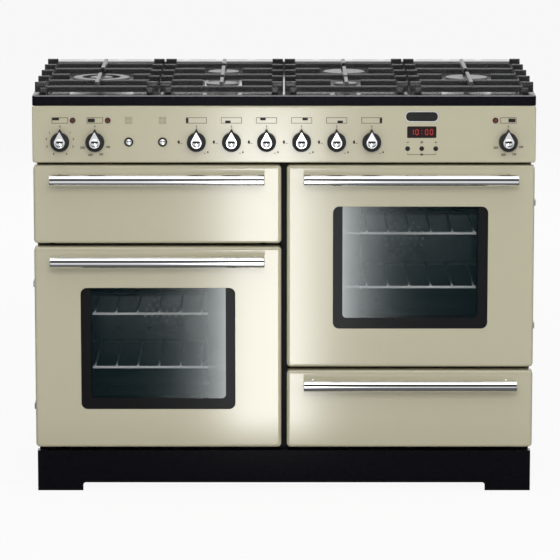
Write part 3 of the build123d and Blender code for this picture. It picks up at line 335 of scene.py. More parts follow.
def black_enamel(name, colour, gloss=0.05, bend=1.5):
    """Deep black enamel with a little dust on it; bend is its index of refraction."""
    paint = new_paint(name)
    dust = paint.ramp(paint.noise(180.0, 6.0), [(0.52, 0.0), (0.75, 1.0)])
    return paint.surface({
        "Base Color": paint.tones(colour, 1.0, 1.5, dust),
        "Roughness": 0.22 + 0.12 * paint.noise(60.0, 5.0),
        "Specular IOR Level": gloss,
        "IOR": bend,
        "Normal": paint.bump(paint.noise(300.0, 2.0), 0.05 * MM, 0.2),
    })


def satin_paint(name, colour):
    """Powder-coated sheet with a fine grain."""
    paint = new_paint(name)
    grain = paint.noise(1400.0, 2.0)
    return paint.surface({
        "Base Color": paint.tones(colour, 0.8, 1.5, paint.noise(9.0, 5.0)),
        "Roughness": 0.42 + 0.14 * grain,
        "Specular IOR Level": 0.12,
        "Normal": paint.bump(grain, 0.08 * MM, 0.5),
    })


def oven_enamel(name, colour):
    """Dark oven enamel with pale flecks."""
    paint = new_paint(name)
    flecks = paint.ramp(paint.cells(150.0), [(0.10, 1.0), (0.22, 0.0)])
    return paint.surface({
        "Base Color": paint.tones(colour, 1.0, 1.6, flecks),
        "Roughness": 0.22 + 0.18 * paint.noise(45.0, 4.0),
        "Normal": paint.bump(paint.noise(400.0, 2.0), 0.05 * MM, 0.3),
    })


def spangled_zinc(name, colour):
    """Galvanised sheet with crystal spangles."""
    paint = new_paint(name)
    spangle = paint.node("ShaderNodeSeparateColor", {}, {0: paint.cells(70.0, "Color")}, 0)
    return paint.surface({
        "Base Color": paint.tones(colour, 0.93, 1.05, spangle),
        "Metallic": 1.0,
        "Roughness": 0.40 + 0.08 * spangle + 0.06 * paint.noise(300.0, 3.0),
    })


def brushed_metal(name, colour):
    """Steel brushed from side to side."""
    paint = new_paint(name)
    strokes = paint.noise(1.0, 4.0, paint.stretched((3.0, 500.0, 500.0)))
    return paint.surface({
        "Base Color": paint.tones(colour, 0.82, 1.08, strokes),
        "Metallic": 1.0,
        "Roughness": 0.10 + 0.12 * strokes,
        "Normal": paint.bump(strokes, 0.04 * MM, 0.08),
    })


def bright_wire(name, colour, node):
    """Plated shelf wire with painted shade that darkens it towards the back of the oven."""
    paint = new_paint(name)
    low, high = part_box(node)
    marks = paint.noise(90.0, 4.0)
    plating = paint.tones(colour, 0.9, 1.0, marks)
    depth = (paint.axes()[1] - low.y) / (high.y - low.y)
    # Painted shade: from the front of the oven's depth backwards the wire's colour falls to 0.12 of itself, as if
    # shade filled the oven behind it.
    darkening = paint.ramp(depth, [(0.03, 0.0), (0.14, 1.0)])
    return paint.surface({
        "Base Color": paint.mix(plating, shade(colour, 0.12), darkening),
        "Metallic": 0.1 + 0.2 * marks,
        "Roughness": 0.25 + 0.2 * marks,
    })


def polished_chrome(name, colour):
    """Bright plating with faint wiping marks."""
    paint = new_paint(name)
    wipes = paint.noise(1.0, 5.0, paint.stretched((25.0, 160.0, 160.0)))
    return paint.surface({
        "Base Color": paint.tones(colour, 0.96, 1.02, wipes),
        "Metallic": 1.0,
        "Roughness": 0.035 + 0.05 * wipes,
    })


def cast_iron(name, colour):
    """Sand-cast iron under a thin satin enamel."""
    paint = new_paint(name)
    grain = paint.noise(420.0, 6.0)
    bloom = paint.noise(22.0, 4.0)
    return paint.surface({
        "Base Color": paint.tones(colour, 0.75, 1.6, bloom),
        "Roughness": 0.22 + 0.08 * bloom,
        "Specular IOR Level": 0.9,
        "Normal": paint.bump(grain, 0.02 * MM, 0.1, paint.soft_edge(5.0 * MM)),
    })


def cast_alloy(name, colour):
    """Cast aluminium, dulled by heat."""
    paint = new_paint(name)
    grain = paint.noise(600.0, 4.0)
    darkening = paint.ramp(paint.noise(35.0, 3.0), [(0.35, 0.0), (0.7, 1.0)])
    return paint.surface({
        "Base Color": paint.tones(colour, 1.0, 0.62, darkening),
        "Metallic": 0.9,
        "Roughness": 0.36 + 0.18 * grain,
        "Normal": paint.bump(grain, 0.15 * MM, 0.4),
    })


def dull_metal(name, colour, rough=0.38):
    """Plain metal with handling marks."""
    paint = new_paint(name)
    marks = paint.noise(1.0, 5.0, paint.stretched((90.0, 90.0, 30.0)))
    return paint.surface({
        "Base Color": paint.tones(colour, 0.8, 1.15, marks),
        "Metallic": 1.0,
        "Roughness": rough + 0.15 * marks,
        "Normal": paint.bump(paint.noise(700.0, 2.0), 0.06 * MM, 0.3),
    })


def knob_skirt(name, colour):
    """Dark satin plating, softened over its edges."""
    paint = new_paint(name)
    return paint.surface({
        "Base Color": paint.tones(colour, 0.9, 1.1, paint.noise(60.0, 4.0)),
        "Roughness": 0.34 + 0.06 * paint.noise(90.0, 3.0),
        "Specular IOR Level": 0.03,
        "Normal": paint.bump(paint.noise(700.0, 2.0), 0.02 * MM, 0.1, paint.soft_edge(12.0 * MM)),
    })


def gloss_moulding(name, colour, rough=0.18):
    """Moulded plastic with a fine skin."""
    paint = new_paint(name)
    return paint.surface({
        "Base Color": paint.tones(colour, 1.0, 1.7, paint.noise(30.0, 3.0)),
        "Roughness": rough + 0.1 * paint.noise(150.0, 3.0),
        "Specular IOR Level": 0.2,
        "Normal": paint.bump(paint.noise(900.0, 2.0), 0.03 * MM, 0.3),
    })


def lamp_lens(name, colour):
    """Ribbed red lens with a dim glow."""
    paint = new_paint(name)
    ribs = paint.node("ShaderNodeTexWave", {"bands_direction": "X"},
                      {"Vector": paint.coords(), "Scale": 420.0, "Distortion": 0.0}, "Fac")
    tone = paint.tones(colour, 0.45, 1.0, paint.noise(160.0, 2.0))
    return paint.surface({
        "Base Color": tone,
        "Roughness": 0.08 + 0.08 * ribs,
        "Emission Color": tone,
        "Emission Strength": 0.10,
        "Normal": paint.bump(ribs, 0.1 * MM, 0.4),
    })


def window_glass(name, tint, node):
    """Tinted glass with a black border at its sides and foot, and a painted reflection on the outer face that
    grows paler towards the cooker's middle.
    """
    paint = new_paint(name)
    low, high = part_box(node)
    overlap, side_border, foot_border, corner = 11.0 * MM, 21.0 * MM, 24.0 * MM, 9.0 * MM
    pane_limit, face_limit = 10.0 * MM, 0.5 * MM
    painted_reflection_cover = 0.42
    smoke_tone, painted_reflection_tone = (0.028, 0.065, 0.075, 1.0), (0.90, 0.97, 0.97, 1.0)
    ink_tone, painted_reflection_on_ink = (0.004, 0.004, 0.005, 1.0), (0.028, 0.029, 0.030, 1.0)
    middle = (low + high) / 2
    half_width = (high.x - low.x) / 2 - overlap - side_border
    foot = low.z + overlap + foot_border
    x, y, z = paint.axes()
    across = (abs(x - middle.x) - (half_width - corner)).at_least(0.0)
    down = (foot + corner - z).at_least(0.0)
    border = (across * across + down * down) > corner * corner
    outer_pane = y < low.y + pane_limit
    outer_face = y < low.y + face_limit
    printed = border * outer_pane
    haze = 0.03 * paint.noise(14.0, 3.0)
    # Painted reflection: a pale tone and extra opacity on the outer face, rising with the cube of the distance
    # from the window's outer side, so it is strongest beside the cooker's middle.
    inward = 1.0 if middle.x < 0.0 else -1.0
    painted_reflection_sweep = (0.5 + inward * (x - middle.x) / (2.0 * half_width)).at_least(0.0)
    painted_reflection = painted_reflection_sweep * painted_reflection_sweep * painted_reflection_sweep * outer_face
    smoke_and_painted_reflection = paint.mix(smoke_tone, painted_reflection_tone, painted_reflection)
    # The painted reflection also lies, dimmer, over the black border.
    ink_and_painted_reflection = paint.mix(ink_tone, painted_reflection_on_ink, painted_reflection)
    return paint.surface({
        "Base Color": paint.mix(smoke_and_painted_reflection, ink_and_painted_reflection, printed),
        "Roughness": 0.26 + haze + 0.45 * printed,
        "IOR": 1.34,
        "Alpha": (tint + haze + painted_reflection_cover * painted_reflection).at_least(printed),
    })


def printing_ink(name, colour):
    """Screen-printed ink with slightly uneven cover."""
    paint = new_paint(name)
    return paint.surface({
        "Base Color": paint.tones(colour, 1.0, 2.5, paint.noise(500.0, 3.0)),
        "Roughness": 0.45 + 0.2 * paint.noise(800.0, 2.0),
        "Specular IOR Level": 0.2,
    })


def lit_segments(name, colour):
    """Glowing clock segments, a little uneven."""
    paint = new_paint(name)
    glow = paint.tones(colour, 0.7, 1.0, paint.noise(900.0, 1.0))
    return paint.surface({
        "Base Color": shade(colour, 0.3),
        "Emission Color": glow,
        "Emission Strength": 0.38,
        "Roughness": 0.3 + 0.1 * paint.noise(300.0, 1.0),
    })


def braided_seal(name):
    """Black braided cord."""
    paint = new_paint(name)
    braid = paint.cells(520.0)
    return paint.surface({
        "Base Color": paint.mix((0.010, 0.010, 0.010, 1.0), (0.05, 0.05, 0.05, 1.0), braid),
        "Roughness": 0.6 + 0.2 * braid,
        "Normal": paint.bump(braid, 0.4 * MM, 0.8),
    })


def glazed_ceramic(name):
    """White spark-electrode ceramic, browned by heat."""
    paint = new_paint(name)
    return paint.surface({
        "Base Color": paint.mix((0.74, 0.72, 0.67, 1.0), (0.42, 0.34, 0.25, 1.0), paint.noise(150.0, 3.0)),
        "Roughness": 0.25 + 0.2 * paint.noise(300.0, 2.0),
    })


FINISHES = {}


def build_finishes():
    """Every finish of the cooker, by the record's material slot."""
    finishes = settings()[0]
    recipes = {
        "cream_enamel": (cream_enamel, finishes.cream),
        "black_enamel": (black_enamel, finishes.black),
        "black_paint": (satin_paint, (0.012, 0.012, 0.013)),
        "oven_enamel": (oven_enamel, (0.022, 0.024, 0.029)),
        "galvanised": (spangled_zinc, (0.50, 0.52, 0.53)),
        "brushed_steel": (brushed_metal, finishes.steel),
        "chrome": (polished_chrome, finishes.chrome),
        "cast_iron": (cast_iron, finishes.iron),
        "burner_alloy": (cast_alloy, (0.46, 0.46, 0.45)),
        "gas_brass": (dull_metal, (0.58, 0.44, 0.18), 0.3),
        "black_plastic": (gloss_moulding, (0.010, 0.010, 0.011)),
        "dark_lens": (gloss_moulding, (0.012, 0.006, 0.006), 0.06),
        "neon_lens": (lamp_lens, (0.12, 0.006, 0.005)),
        "element_steel": (dull_metal, (0.16, 0.155, 0.15), 0.45),
        "zinc_steel": (dull_metal, (0.48, 0.48, 0.47)),
    }
    for slot, (make, *details) in recipes.items():
        FINISHES[slot] = make(slot, *details)


def material_named(name):
    """A finish built by the finishes operator."""
    if name not in FINISHES:
        raise RuntimeError(f"the finish {name} is not built yet")
    return FINISHES[name]


def coat(node, *materials, choose=None):
    """Gives a CAD node its finishes; choose picks one for each face from its middle and normal."""
    mesh = NODES[node].data
    mesh.materials.clear()
    for material in materials:
        mesh.materials.append(material)
    picks = [choose(face.center, face.normal) if choose else 0 for face in mesh.polygons]
    mesh.polygons.foreach_set("material_index", picks)


class Form:
    """A mesh piece gathered from simple closed shapes."""

    def __init__(self, name):
        self.name = name
        self.shape = bmesh.new()

    def prism(self, outline, front, back):
        """A closed prism from points in X and Z between two depths."""
        near = [self.shape.verts.new((x, front, z)) for x, z in outline]
        far = [self.shape.verts.new((x, back, z)) for x, z in outline]
        self.shape.faces.new(near)
        self.shape.faces.new(far[::-1])
        count = len(outline)
        for i in range(count):
            j = (i + 1) % count
            self.shape.faces.new((near[j], near[i], far[i], far[j]))

    def bar(self, x, z, front, back):
        """A flat bar between limits in X and Z."""
        self.prism([(x[0], z[0]), (x[1], z[0]), (x[1], z[1]), (x[0], z[1])], front, back)

    def ring(self, path, radius, sides=10):
        """A closed round tube along a loop of points in the X and Z plane."""
        count = len(path)
        rings = []
        deep = Vector((0.0, 1.0, 0.0))
        turns = [2 * math.pi * k / sides for k in range(sides)]
        for i, point in enumerate(path):
            outward = (path[(i + 1) % count] - path[i - 1]).normalized().cross(deep)
            spokes = [math.cos(t) * outward + math.sin(t) * deep for t in turns]
            rings.append([self.shape.verts.new(point + radius * spoke) for spoke in spokes])
        for i in range(count):
            here, there = rings[i], rings[(i + 1) % count]
            for k in range(sides):
                n = (k + 1) % sides
                self.shape.faces.new((here[k], here[n], there[n], there[k]))

    def turned(self, profile, place, sides):
        """A solid of revolution from radius and height pairs, set by a placing matrix."""
        rings = []
        turns = [2 * math.pi * k / sides for k in range(sides)]
        for radius, height in profile:
            points = [Vector((radius * math.cos(t), radius * math.sin(t), height)) for t in turns]
            rings.append([self.shape.verts.new(place @ point) for point in points])
        self.shape.faces.new(rings[0][::-1])
        self.shape.faces.new(rings[-1])
        for low, high in zip(rings, rings[1:]):
            for k in range(sides):
                n = (k + 1) % sides
                self.shape.faces.new((low[k], low[n], high[n], high[k]))

    def take(self, mesh, place):
        """Adds the faces of another mesh, set by a placing matrix."""
        start = len(self.shape.verts)
        self.shape.from_mesh(mesh)
        self.shape.verts.ensure_lookup_table()
        for vert in self.shape.verts[start:]:
            vert.co = place @ vert.co

    def finish(self, material, slot, body="chassis", smooth=False):
        """Turns the gathered shapes into a piece that rides on a body."""
        bmesh.ops.recalc_face_normals(self.shape, faces=self.shape.faces)
        mesh = bpy.data.meshes.new(self.name)
        self.shape.to_mesh(mesh)
        self.shape.free()
        mesh.materials.append(material)
        mesh.polygons.foreach_set("use_smooth", [smooth] * len(mesh.polygons))
        piece = new_object(self.name, mesh)
        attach(piece, body)


def rounded_rectangle(x, z, width, height, corner, steps=6):
    """Points of a rounded rectangle in X and Z."""
    points = []
    middles = ((1, 1, 0.0), (-1, 1, 0.5), (-1, -1, 1.0), (1, -1, 1.5))
    for right, up, start in middles:
        for step in range(steps + 1):
            turn = math.pi * (start + 0.5 * step / steps)
            points.append((
                x + right * (width / 2 - corner) + corner * math.cos(turn),
                z + up * (height / 2 - corner) + corner * math.sin(turn),
            ))
    return points


def flame_outline(x, z, height, steps=14):
    """Points of a small flame, round below and pointed above."""
    girth, taper, lean = 0.33, 0.45, 0.08
    points = []
    for i in range(steps):
        turn = 2 * math.pi * i / steps
        rise = math.cos(turn)
        width = girth * height * math.sin(turn) * (1.0 - taper * max(rise, 0.0))
        points.append((x + width + lean * height * rise * rise, z + 0.5 * height * rise))
    return points


class COOKER_OT_finishes(bpy.types.Operator):
    """Coat every CAD node with the finish of its material slot"""

    bl_idname = "cooker.finishes"
    bl_label = "Surface finishes"

    def execute(self, context):
        finishes = settings()[0]
        build_finishes()
        for entry in frame["record"]["subparts"]:
            node, slot = entry["node"], entry["material_slot"]
            if node == "oven_racks":
                coat(node, bright_wire("shelf_wire", finishes.chrome, node))
            elif slot == "window_glass":
                coat(node, window_glass(f"{node}_finish", finishes.glass_tint, node))
            else:
                coat(node, material_named(slot))
        return {"FINISHED"}


class COOKER_OT_rims(bpy.types.Operator):
    """Polish the upward edges of the hob rim and the plinth"""

    bl_idname = "cooker.rims"
    bl_label = "Rim edges"

    def execute(self, context):
        polished = black_enamel("polished_enamel", settings()[0].black, gloss=0.5, bend=2.4)
        least_rise = 0.3

        def upward(middle, normal):
            return int(normal.z > least_rise)

        for node in ("hob_frame", "plinth"):
            coat(node, material_named("black_enamel"), polished, choose=upward)
        return {"FINISHED"}


class COOKER_OT_castings(bpy.types.Operator):
    """Round the cast edges of the pan supports"""

    bl_idname = "cooker.castings"
    bl_label = "Cast edges"

    def execute(self, context):
        weld_reach, edge_steps, sharp_angle = 0.01 * MM, 3, math.radians(35.0)
        for node in sorted(name for name in NODES if name.startswith("pan_support")):
            weld = NODES[node].modifiers.new("joined_faces", "WELD")
            weld.merge_threshold = weld_reach
            bevel = NODES[node].modifiers.new("cast_edges", "BEVEL")
            bevel.offset_type = "WIDTH"
            bevel.width = settings()[1].cast_edge
            bevel.segments = edge_steps
            bevel.limit_method = "ANGLE"
            bevel.angle_limit = sharp_angle
            bevel.use_clamp_overlap = False
            bevel.harden_normals = True
        return {"FINISHED"}


class COOKER_OT_lamps(bpy.types.Operator):
    """Give the indicator lamps a dark bezel round the lens"""

    bl_idname = "cooker.lamps"
    bl_label = "Indicator lamps"

    def execute(self, context):
        places = loose_parts("indicator_lamps")
        lens_share = 0.62

        def bezel(middle, normal):
            low, high = next(box for box in places if box[0].x <= middle.x <= box[1].x)
            away = middle - (low + high) / 2
            return int(math.hypot(away.x, away.z) > lens_share * (high.x - low.x) / 2)

        coat("indicator_lamps", material_named("neon_lens"), material_named("black_plastic"), choose=bezel)
        return {"FINISHED"}


class COOKER_OT_knobs(bpy.types.Operator):
    """Coat knob caps in chrome, skirts in dark plating and spindles in zinc"""

    bl_idname = "cooker.knobs"
    bl_label = "Knobs"

    def execute(self, context):
        cap_depth = 7.5 * MM
        skirt = knob_skirt("dark_plating", settings()[0].skirt)
        finishes = [skirt, material_named("chrome"), material_named("zinc_steel")]
        for node in KNOB_NODES:
            cap_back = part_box(node)[0].y + cap_depth

            def part_of_knob(middle, normal, limit=cap_back):
                if middle.y < limit:
                    return 1
                return 2 if middle.y > FASCIA_FACE else 0

            coat(node, *finishes, choose=part_of_knob)
        return {"FINISHED"}


class COOKER_OT_burners(bpy.types.Operator):
    """Tell the spark electrodes from the cast burner bodies"""

    bl_idname = "cooker.burners"
    bl_label = "Burners"

    def execute(self, context):
        caps = [((low + high) / 2, (high.x - low.x) / 2) for low, high in loose_parts("burner_caps")]
        margin = 3.0 * MM

        def electrode(middle, normal):
            clear = min((middle - centre).xy.length - radius for centre, radius in caps)
            return int(clear > margin)

        finishes = material_named("burner_alloy"), glazed_ceramic("electrode_ceramic")
        coat("burner_bodies", *finishes, choose=electrode)
        return {"FINISHED"}


def loose_parts(node):
    """Low and high corners of each loose part of a CAD node."""
    weld_reach = 0.001 * MM
    shape = bmesh.new()
    shape.from_mesh(NODES[node].data)
    bmesh.ops.remove_doubles(shape, verts=shape.verts, dist=weld_reach)
    boxes = []
    pending = set(shape.verts)
    while pending:
        stack = [pending.pop()]
        group = []
        while stack:
            vert = stack.pop()
            group.append(vert.co.copy())
            for edge in vert.link_edges:
                other = edge.other_vert(vert)
                if other in pending:
                    pending.remove(other)
                    stack.append(other)
        boxes.append((Vector(map(min, *group)), Vector(map(max, *group))))
    shape.free()
    return boxes


class Printer:
    """Draws marks on the fascia as one thin piece."""

    def __init__(self, name, face=FASCIA_FACE):
        self.form = Form(name)
        self.marks = settings()[1]
        self.depth = (face - self.marks.ink_depth, face)

    def fill(self, outline):
        """A solid outline."""
        self.form.prism(outline, *self.depth)

    def block(self, x, z, width, height):
        """A solid rectangle."""
        self.form.bar((x - width / 2, x + width / 2), (z - height / 2, z + height / 2), *self.depth)

    def box(self, x, z, width, height):
        """An outlined rectangle."""
        line = self.marks.line
        for side in (-1, 1):
            self.block(x, z + side * (height - line) / 2, width, line)
            self.block(x + side * (width - line) / 2, z, line, height - 2 * line)

    def text(self, words, x, z, size):
        """Plain numerals centred on a point."""
        boldness = 0.03
        curve = bpy.data.curves.new("numeral", "FONT")
        curve.body = words
        curve.size = size
        curve.align_x = "CENTER"
        curve.align_y = "CENTER"
        curve.extrude = self.marks.ink_depth / 2
        curve.offset = boldness * size
        holder = new_object("numeral", curve)
        bpy.context.view_layer.update()
        shown = holder.evaluated_get(bpy.context.evaluated_depsgraph_get())
        mesh = bpy.data.meshes.new_from_object(shown)
        upright = Matrix.Rotation(math.pi / 2, 4, "X")
        self.form.take(mesh, Matrix.Translation((x, sum(self.depth) / 2, z)) @ upright)
        bpy.data.objects.remove(holder)
        bpy.data.curves.remove(curve)
        bpy.data.meshes.remove(mesh)


# Filled part of each pictogram: sideways place, height place, share of width, share of height
PICTOGRAM_FILL = {
    "knob_grill": (-0.25, 0.22, 0.42, 0.40),
    "knob_left_oven": (-0.22, 0.0, 0.44, 0.62),
    "knob_right_oven": (0.22, 0.0, 0.44, 0.62),
    "knob_burner_1": (-0.43, 0.0, 0.10, 0.80),
    "knob_burner_2": (-0.17, -0.22, 0.26, 0.40),
    "knob_burner_3": (-0.17, 0.22, 0.26, 0.40),
    "knob_burner_4": (0.17, 0.22, 0.26, 0.40),
    "knob_burner_5": (0.17, -0.22, 0.26, 0.40),
    "knob_burner_6": (0.43, 0.0, 0.10, 0.80),
}
# Dial numerals by degrees clockwise from the top
OVEN_DIAL = (("100", 112.0), ("150", 155.0), ("200", 200.0), ("250", 245.0))
GRILL_DIAL = (("1", 48.0), ("2", 78.0), ("3", 110.0), ("4", 152.0))


class COOKER_OT_panel_marks(bpy.types.Operator):
    """Print the pictograms, dial numerals and flames on the fascia"""

    bl_idname = "cooker.panel_marks"
    bl_label = "Fascia marks"

    def execute(self, context):
        finishes, marks, _ = settings()
        printer = Printer("fascia_marks")
        for node in KNOB_NODES:
            self.pictogram(printer, node)
            self.dial(printer, node)
        for node in ("light_button", "spark_button"):
            self.dotted_icon(printer, centre_of(node).x, knob_centre(KNOB_NODES[0]).z + marks.label_rise)
        self.timer_marks(printer)
        printer.form.finish(printing_ink("fascia_ink", finishes.ink), "black_plastic")
        return {"FINISHED"}

    def pictogram(self, printer, node):
        """A hob or oven plan above a knob with its own place filled in."""
        centre = knob_centre(node)
        hob_width, oven_width, height = 45.0 * MM, 35.0 * MM, 13.0 * MM
        width = hob_width if node in GAS_KNOBS else oven_width
        z = centre.z + printer.marks.label_rise
        printer.box(centre.x, z, width, height)
        side, up, wide, tall = PICTOGRAM_FILL[node]
        printer.block(centre.x + side * width, z + up * height, wide * width, tall * height)

    def dial(self, printer, node):
        """Marks round one knob."""
        x, _, z = knob_centre(node)
        reach, flame, line = printer.marks.dial_radius, printer.marks.flame, printer.marks.line
        printer.text("0", x, z + 1.12 * reach, 0.9 * printer.marks.numeral)
        if node in GAS_KNOBS:
            printer.fill(flame_outline(x - 1.28 * reach, z, flame))
            printer.block(x - 1.08 * reach, z - 0.4 * flame, 0.5 * flame, line)
            printer.fill(flame_outline(x + 0.82 * reach, z - 0.74 * reach, 0.62 * flame))
            printer.block(x + 0.6 * reach, z - 0.82 * reach, 0.6 * flame, line)
            return
        sides = ((1, GRILL_DIAL), (-1, GRILL_DIAL)) if node == "knob_grill" else ((1, OVEN_DIAL),)
        for side, numerals in sides:
            for words, degrees in numerals:
                turn = math.radians(degrees)
                place = x + side * reach * math.sin(turn), z + reach * math.cos(turn)
                printer.text(words, *place, printer.marks.numeral)

    def dotted_icon(self, printer, x, z):
        """A small square of dots over a push button."""
        pitch, count, dot = 2.8 * MM, 6, 1.3 * MM
        steps = [(i - (count - 1) / 2) * pitch for i in range(count)]
        for right in steps:
            for up in steps:
                printer.block(x + right, z + up, dot, dot)

    def timer_marks(self, printer):
        """Signs over the clock buttons and the bracket that joins them."""
        low, mid, high = (centre_of(f"timer_button_{i}") for i in (1, 2, 3))
        line = printer.marks.line
        stroke = 1.4 * line
        sign, above, below = 5.0 * MM, 14.0 * MM, 13.0 * MM
        for button in (low, high):
            printer.block(button.x, button.z + above, sign, stroke)
        for side in (1, -1):
            printer.block(high.x, high.z + above + side * sign / 4, stroke, sign / 2 - stroke)
        printer.box(mid.x, mid.z + above, sign, sign)
        printer.block(mid.x, mid.z + above, line, 0.5 * sign)
        printer.block(mid.x, low.z - below, high.x - low.x, line)
        for x in (low.x, high.x):
            printer.block(x, low.z - below + 2 * line, line, 3 * line)
        printer.block(mid.x, mid.z - below, sign, 0.8 * sign)


# Lit segments of each character: top, upper left, upper right, middle, lower left, lower right, foot
SEGMENTS = {
    "0": "1110111", "1": "0010010", "2": "1011101", "3": "1011011", "4": "0111010",
    "5": "1101011", "6": "1101111", "7": "1010010", "8": "1111111", "9": "1111011",
}


class COOKER_OT_clock(bpy.types.Operator):
    """Light the clock's segments on its lens"""

    bl_idname = "cooker.clock"
    bl_label = "Clock digits"

    def execute(self, context):
        finishes, marks, _ = settings()
        printer = Printer("clock_digits", LENS_FACE)
        above, pitch = 36.0 * MM, 10.5 * MM
        dot, dot_rise = 1.4 * MM, 3.0 * MM
        x, _, z = centre_of(CLOCK_BUTTON) + Vector((0.0, 0.0, above))
        for index, sign in enumerate(marks.time):
            place = x + (index - (len(marks.time) - 1) / 2) * pitch
            if sign == ":":
                for level in (-1, 1):
                    printer.block(place, z + level * dot_rise, dot, dot)
            else:
                self.digit(printer, SEGMENTS[sign], place, z)
        printer.form.finish(lit_segments("clock_segments", finishes.digits), "dark_lens")
        return {"FINISHED"}

    def digit(self, printer, lit, x, z):
        """One seven-segment digit."""
        width, height, thick = 7.0 * MM, 13.0 * MM, 1.5 * MM
        places = (
            (0, 1, True), (-1, 0.5, False), (1, 0.5, False), (0, 0, True),
            (-1, -0.5, False), (1, -0.5, False), (0, -1, True),
        )
        for on, (right, up, level) in zip(lit, places):
            if on == "0":
                continue
            size = (width - 2 * thick, thick) if level else (thick, height / 2 - 1.3 * thick)
            printer.block(x + right * (width - thick) / 2, z + up * (height - thick) / 2, *size)


class COOKER_OT_blank_plate(bpy.types.Operator):
    """Set a blank plate with a bright rim above the clock"""

    bl_idname = "cooker.blank_plate"
    bl_label = "Blank plate"

    def execute(self, context):
        width, height, thick = settings()[1].plate_size
        above, rim = 70.0 * MM, 1.6 * MM
        corner_share, rim_share = 0.45, 0.8
        x, _, z = centre_of(CLOCK_BUTTON) + Vector((0.0, 0.0, above))
        rim_front = FASCIA_FACE - rim_share * thick
        form = Form("blank_plate_rim")
        form.prism(rounded_rectangle(x, z, width, height, corner_share * height), rim_front, FASCIA_FACE)
        form.finish(material_named("chrome"), "chrome")
        inner = Form("blank_plate")
        width, height = width - 2 * rim, height - 2 * rim
        outline = rounded_rectangle(x, z, width, height, corner_share * height)
        inner.prism(outline, FASCIA_FACE - thick, rim_front)
        inner.finish(material_named("black_plastic"), "black_plastic")
        return {"FINISHED"}


class COOKER_OT_seals(bpy.types.Operator):
    """Lay braided seals round the oven and grill openings"""

    bl_idname = "cooker.seals"
    bl_label = "Door seals"

    def execute(self, context):
        radius = settings()[1].seal_radius
        braid = braided_seal("seal_braid")
        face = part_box("front_frame")[0].y
        margin, corner = 5.0 * MM, 16.0 * MM
        for name in ("oven_liner_left", "oven_liner_right", "grill_liner"):
            low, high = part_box(name)
            width = high.x - low.x - 2 * margin
            height = high.z - low.z - 2 * margin
            middle = (low + high) / 2
            outline = rounded_rectangle(middle.x, middle.z, width, height, corner)
            path = [Vector((x, face - radius, z)) for x, z in outline]
            form = Form(name.replace("liner", "seal"))
            form.ring(path, radius)
            form.finish(braid, "black_plastic", smooth=True)
        return {"FINISHED"}


class COOKER_OT_screws(bpy.types.Operator):
    """Fix the side and rear panels with flanged hexagon screws"""

    bl_idname = "cooker.screws"
    bl_label = "Panel screws"

    def execute(self, context):
        radius = settings()[1].screw_radius
        for node, side in (("side_panel_left", -1), ("side_panel_right", 1)):
            low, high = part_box(node)
            x = low.x if side < 0 else high.x
            form = Form(f"{node}_screws")
            facing = Matrix.Rotation(side * math.pi / 2, 4, "Y")
            for y in (low.y + SCREW_EDGE, high.y - SCREW_EDGE):
                for up in (0.06, 0.35, 0.65, 0.95):
                    self.screw(form, (x, y, low.z + (high.z - low.z) * up), facing, radius)
            form.finish(material_named("zinc_steel"), "zinc_steel")
        self.rear_screws(radius)
        return {"FINISHED"}

    def rear_screws(self, radius):
        """Screws round the edge of the rear panel."""
        low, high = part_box("rear_panel")
        form = Form("rear_panel_screws")
        facing = Matrix.Rotation(-math.pi / 2, 4, "X")
        span = high - low - 2 * Vector((SCREW_EDGE, SCREW_EDGE, SCREW_EDGE))
        for across in (0.0, 0.25, 0.5, 0.75, 1.0):
            for up in (0.0, 0.33, 0.67, 1.0):
                if across in (0.0, 1.0) or up in (0.0, 1.0):
                    x, z = low.x + SCREW_EDGE + across * span.x, low.z + SCREW_EDGE + up * span.z
                    self.screw(form, (x, high.y, z), facing, radius)
        form.finish(material_named("zinc_steel"), "zinc_steel")

    def screw(self, form, place, turn, radius):
        """One screw head: a round flange under a hexagon."""
        setting = Matrix.Translation(place) @ turn
        round_sides, hexagon_sides = 20, 6
        flange, head = 0.18 * radius, 0.62 * radius
        form.turned([(radius, 0.0), (radius, flange * 0.6), (0.9 * radius, flange)], setting, round_sides)
        profile = [(head, flange), (head, 0.55 * radius), (0.86 * head, 0.68 * radius)]
        form.turned(profile, setting, hexagon_sides)


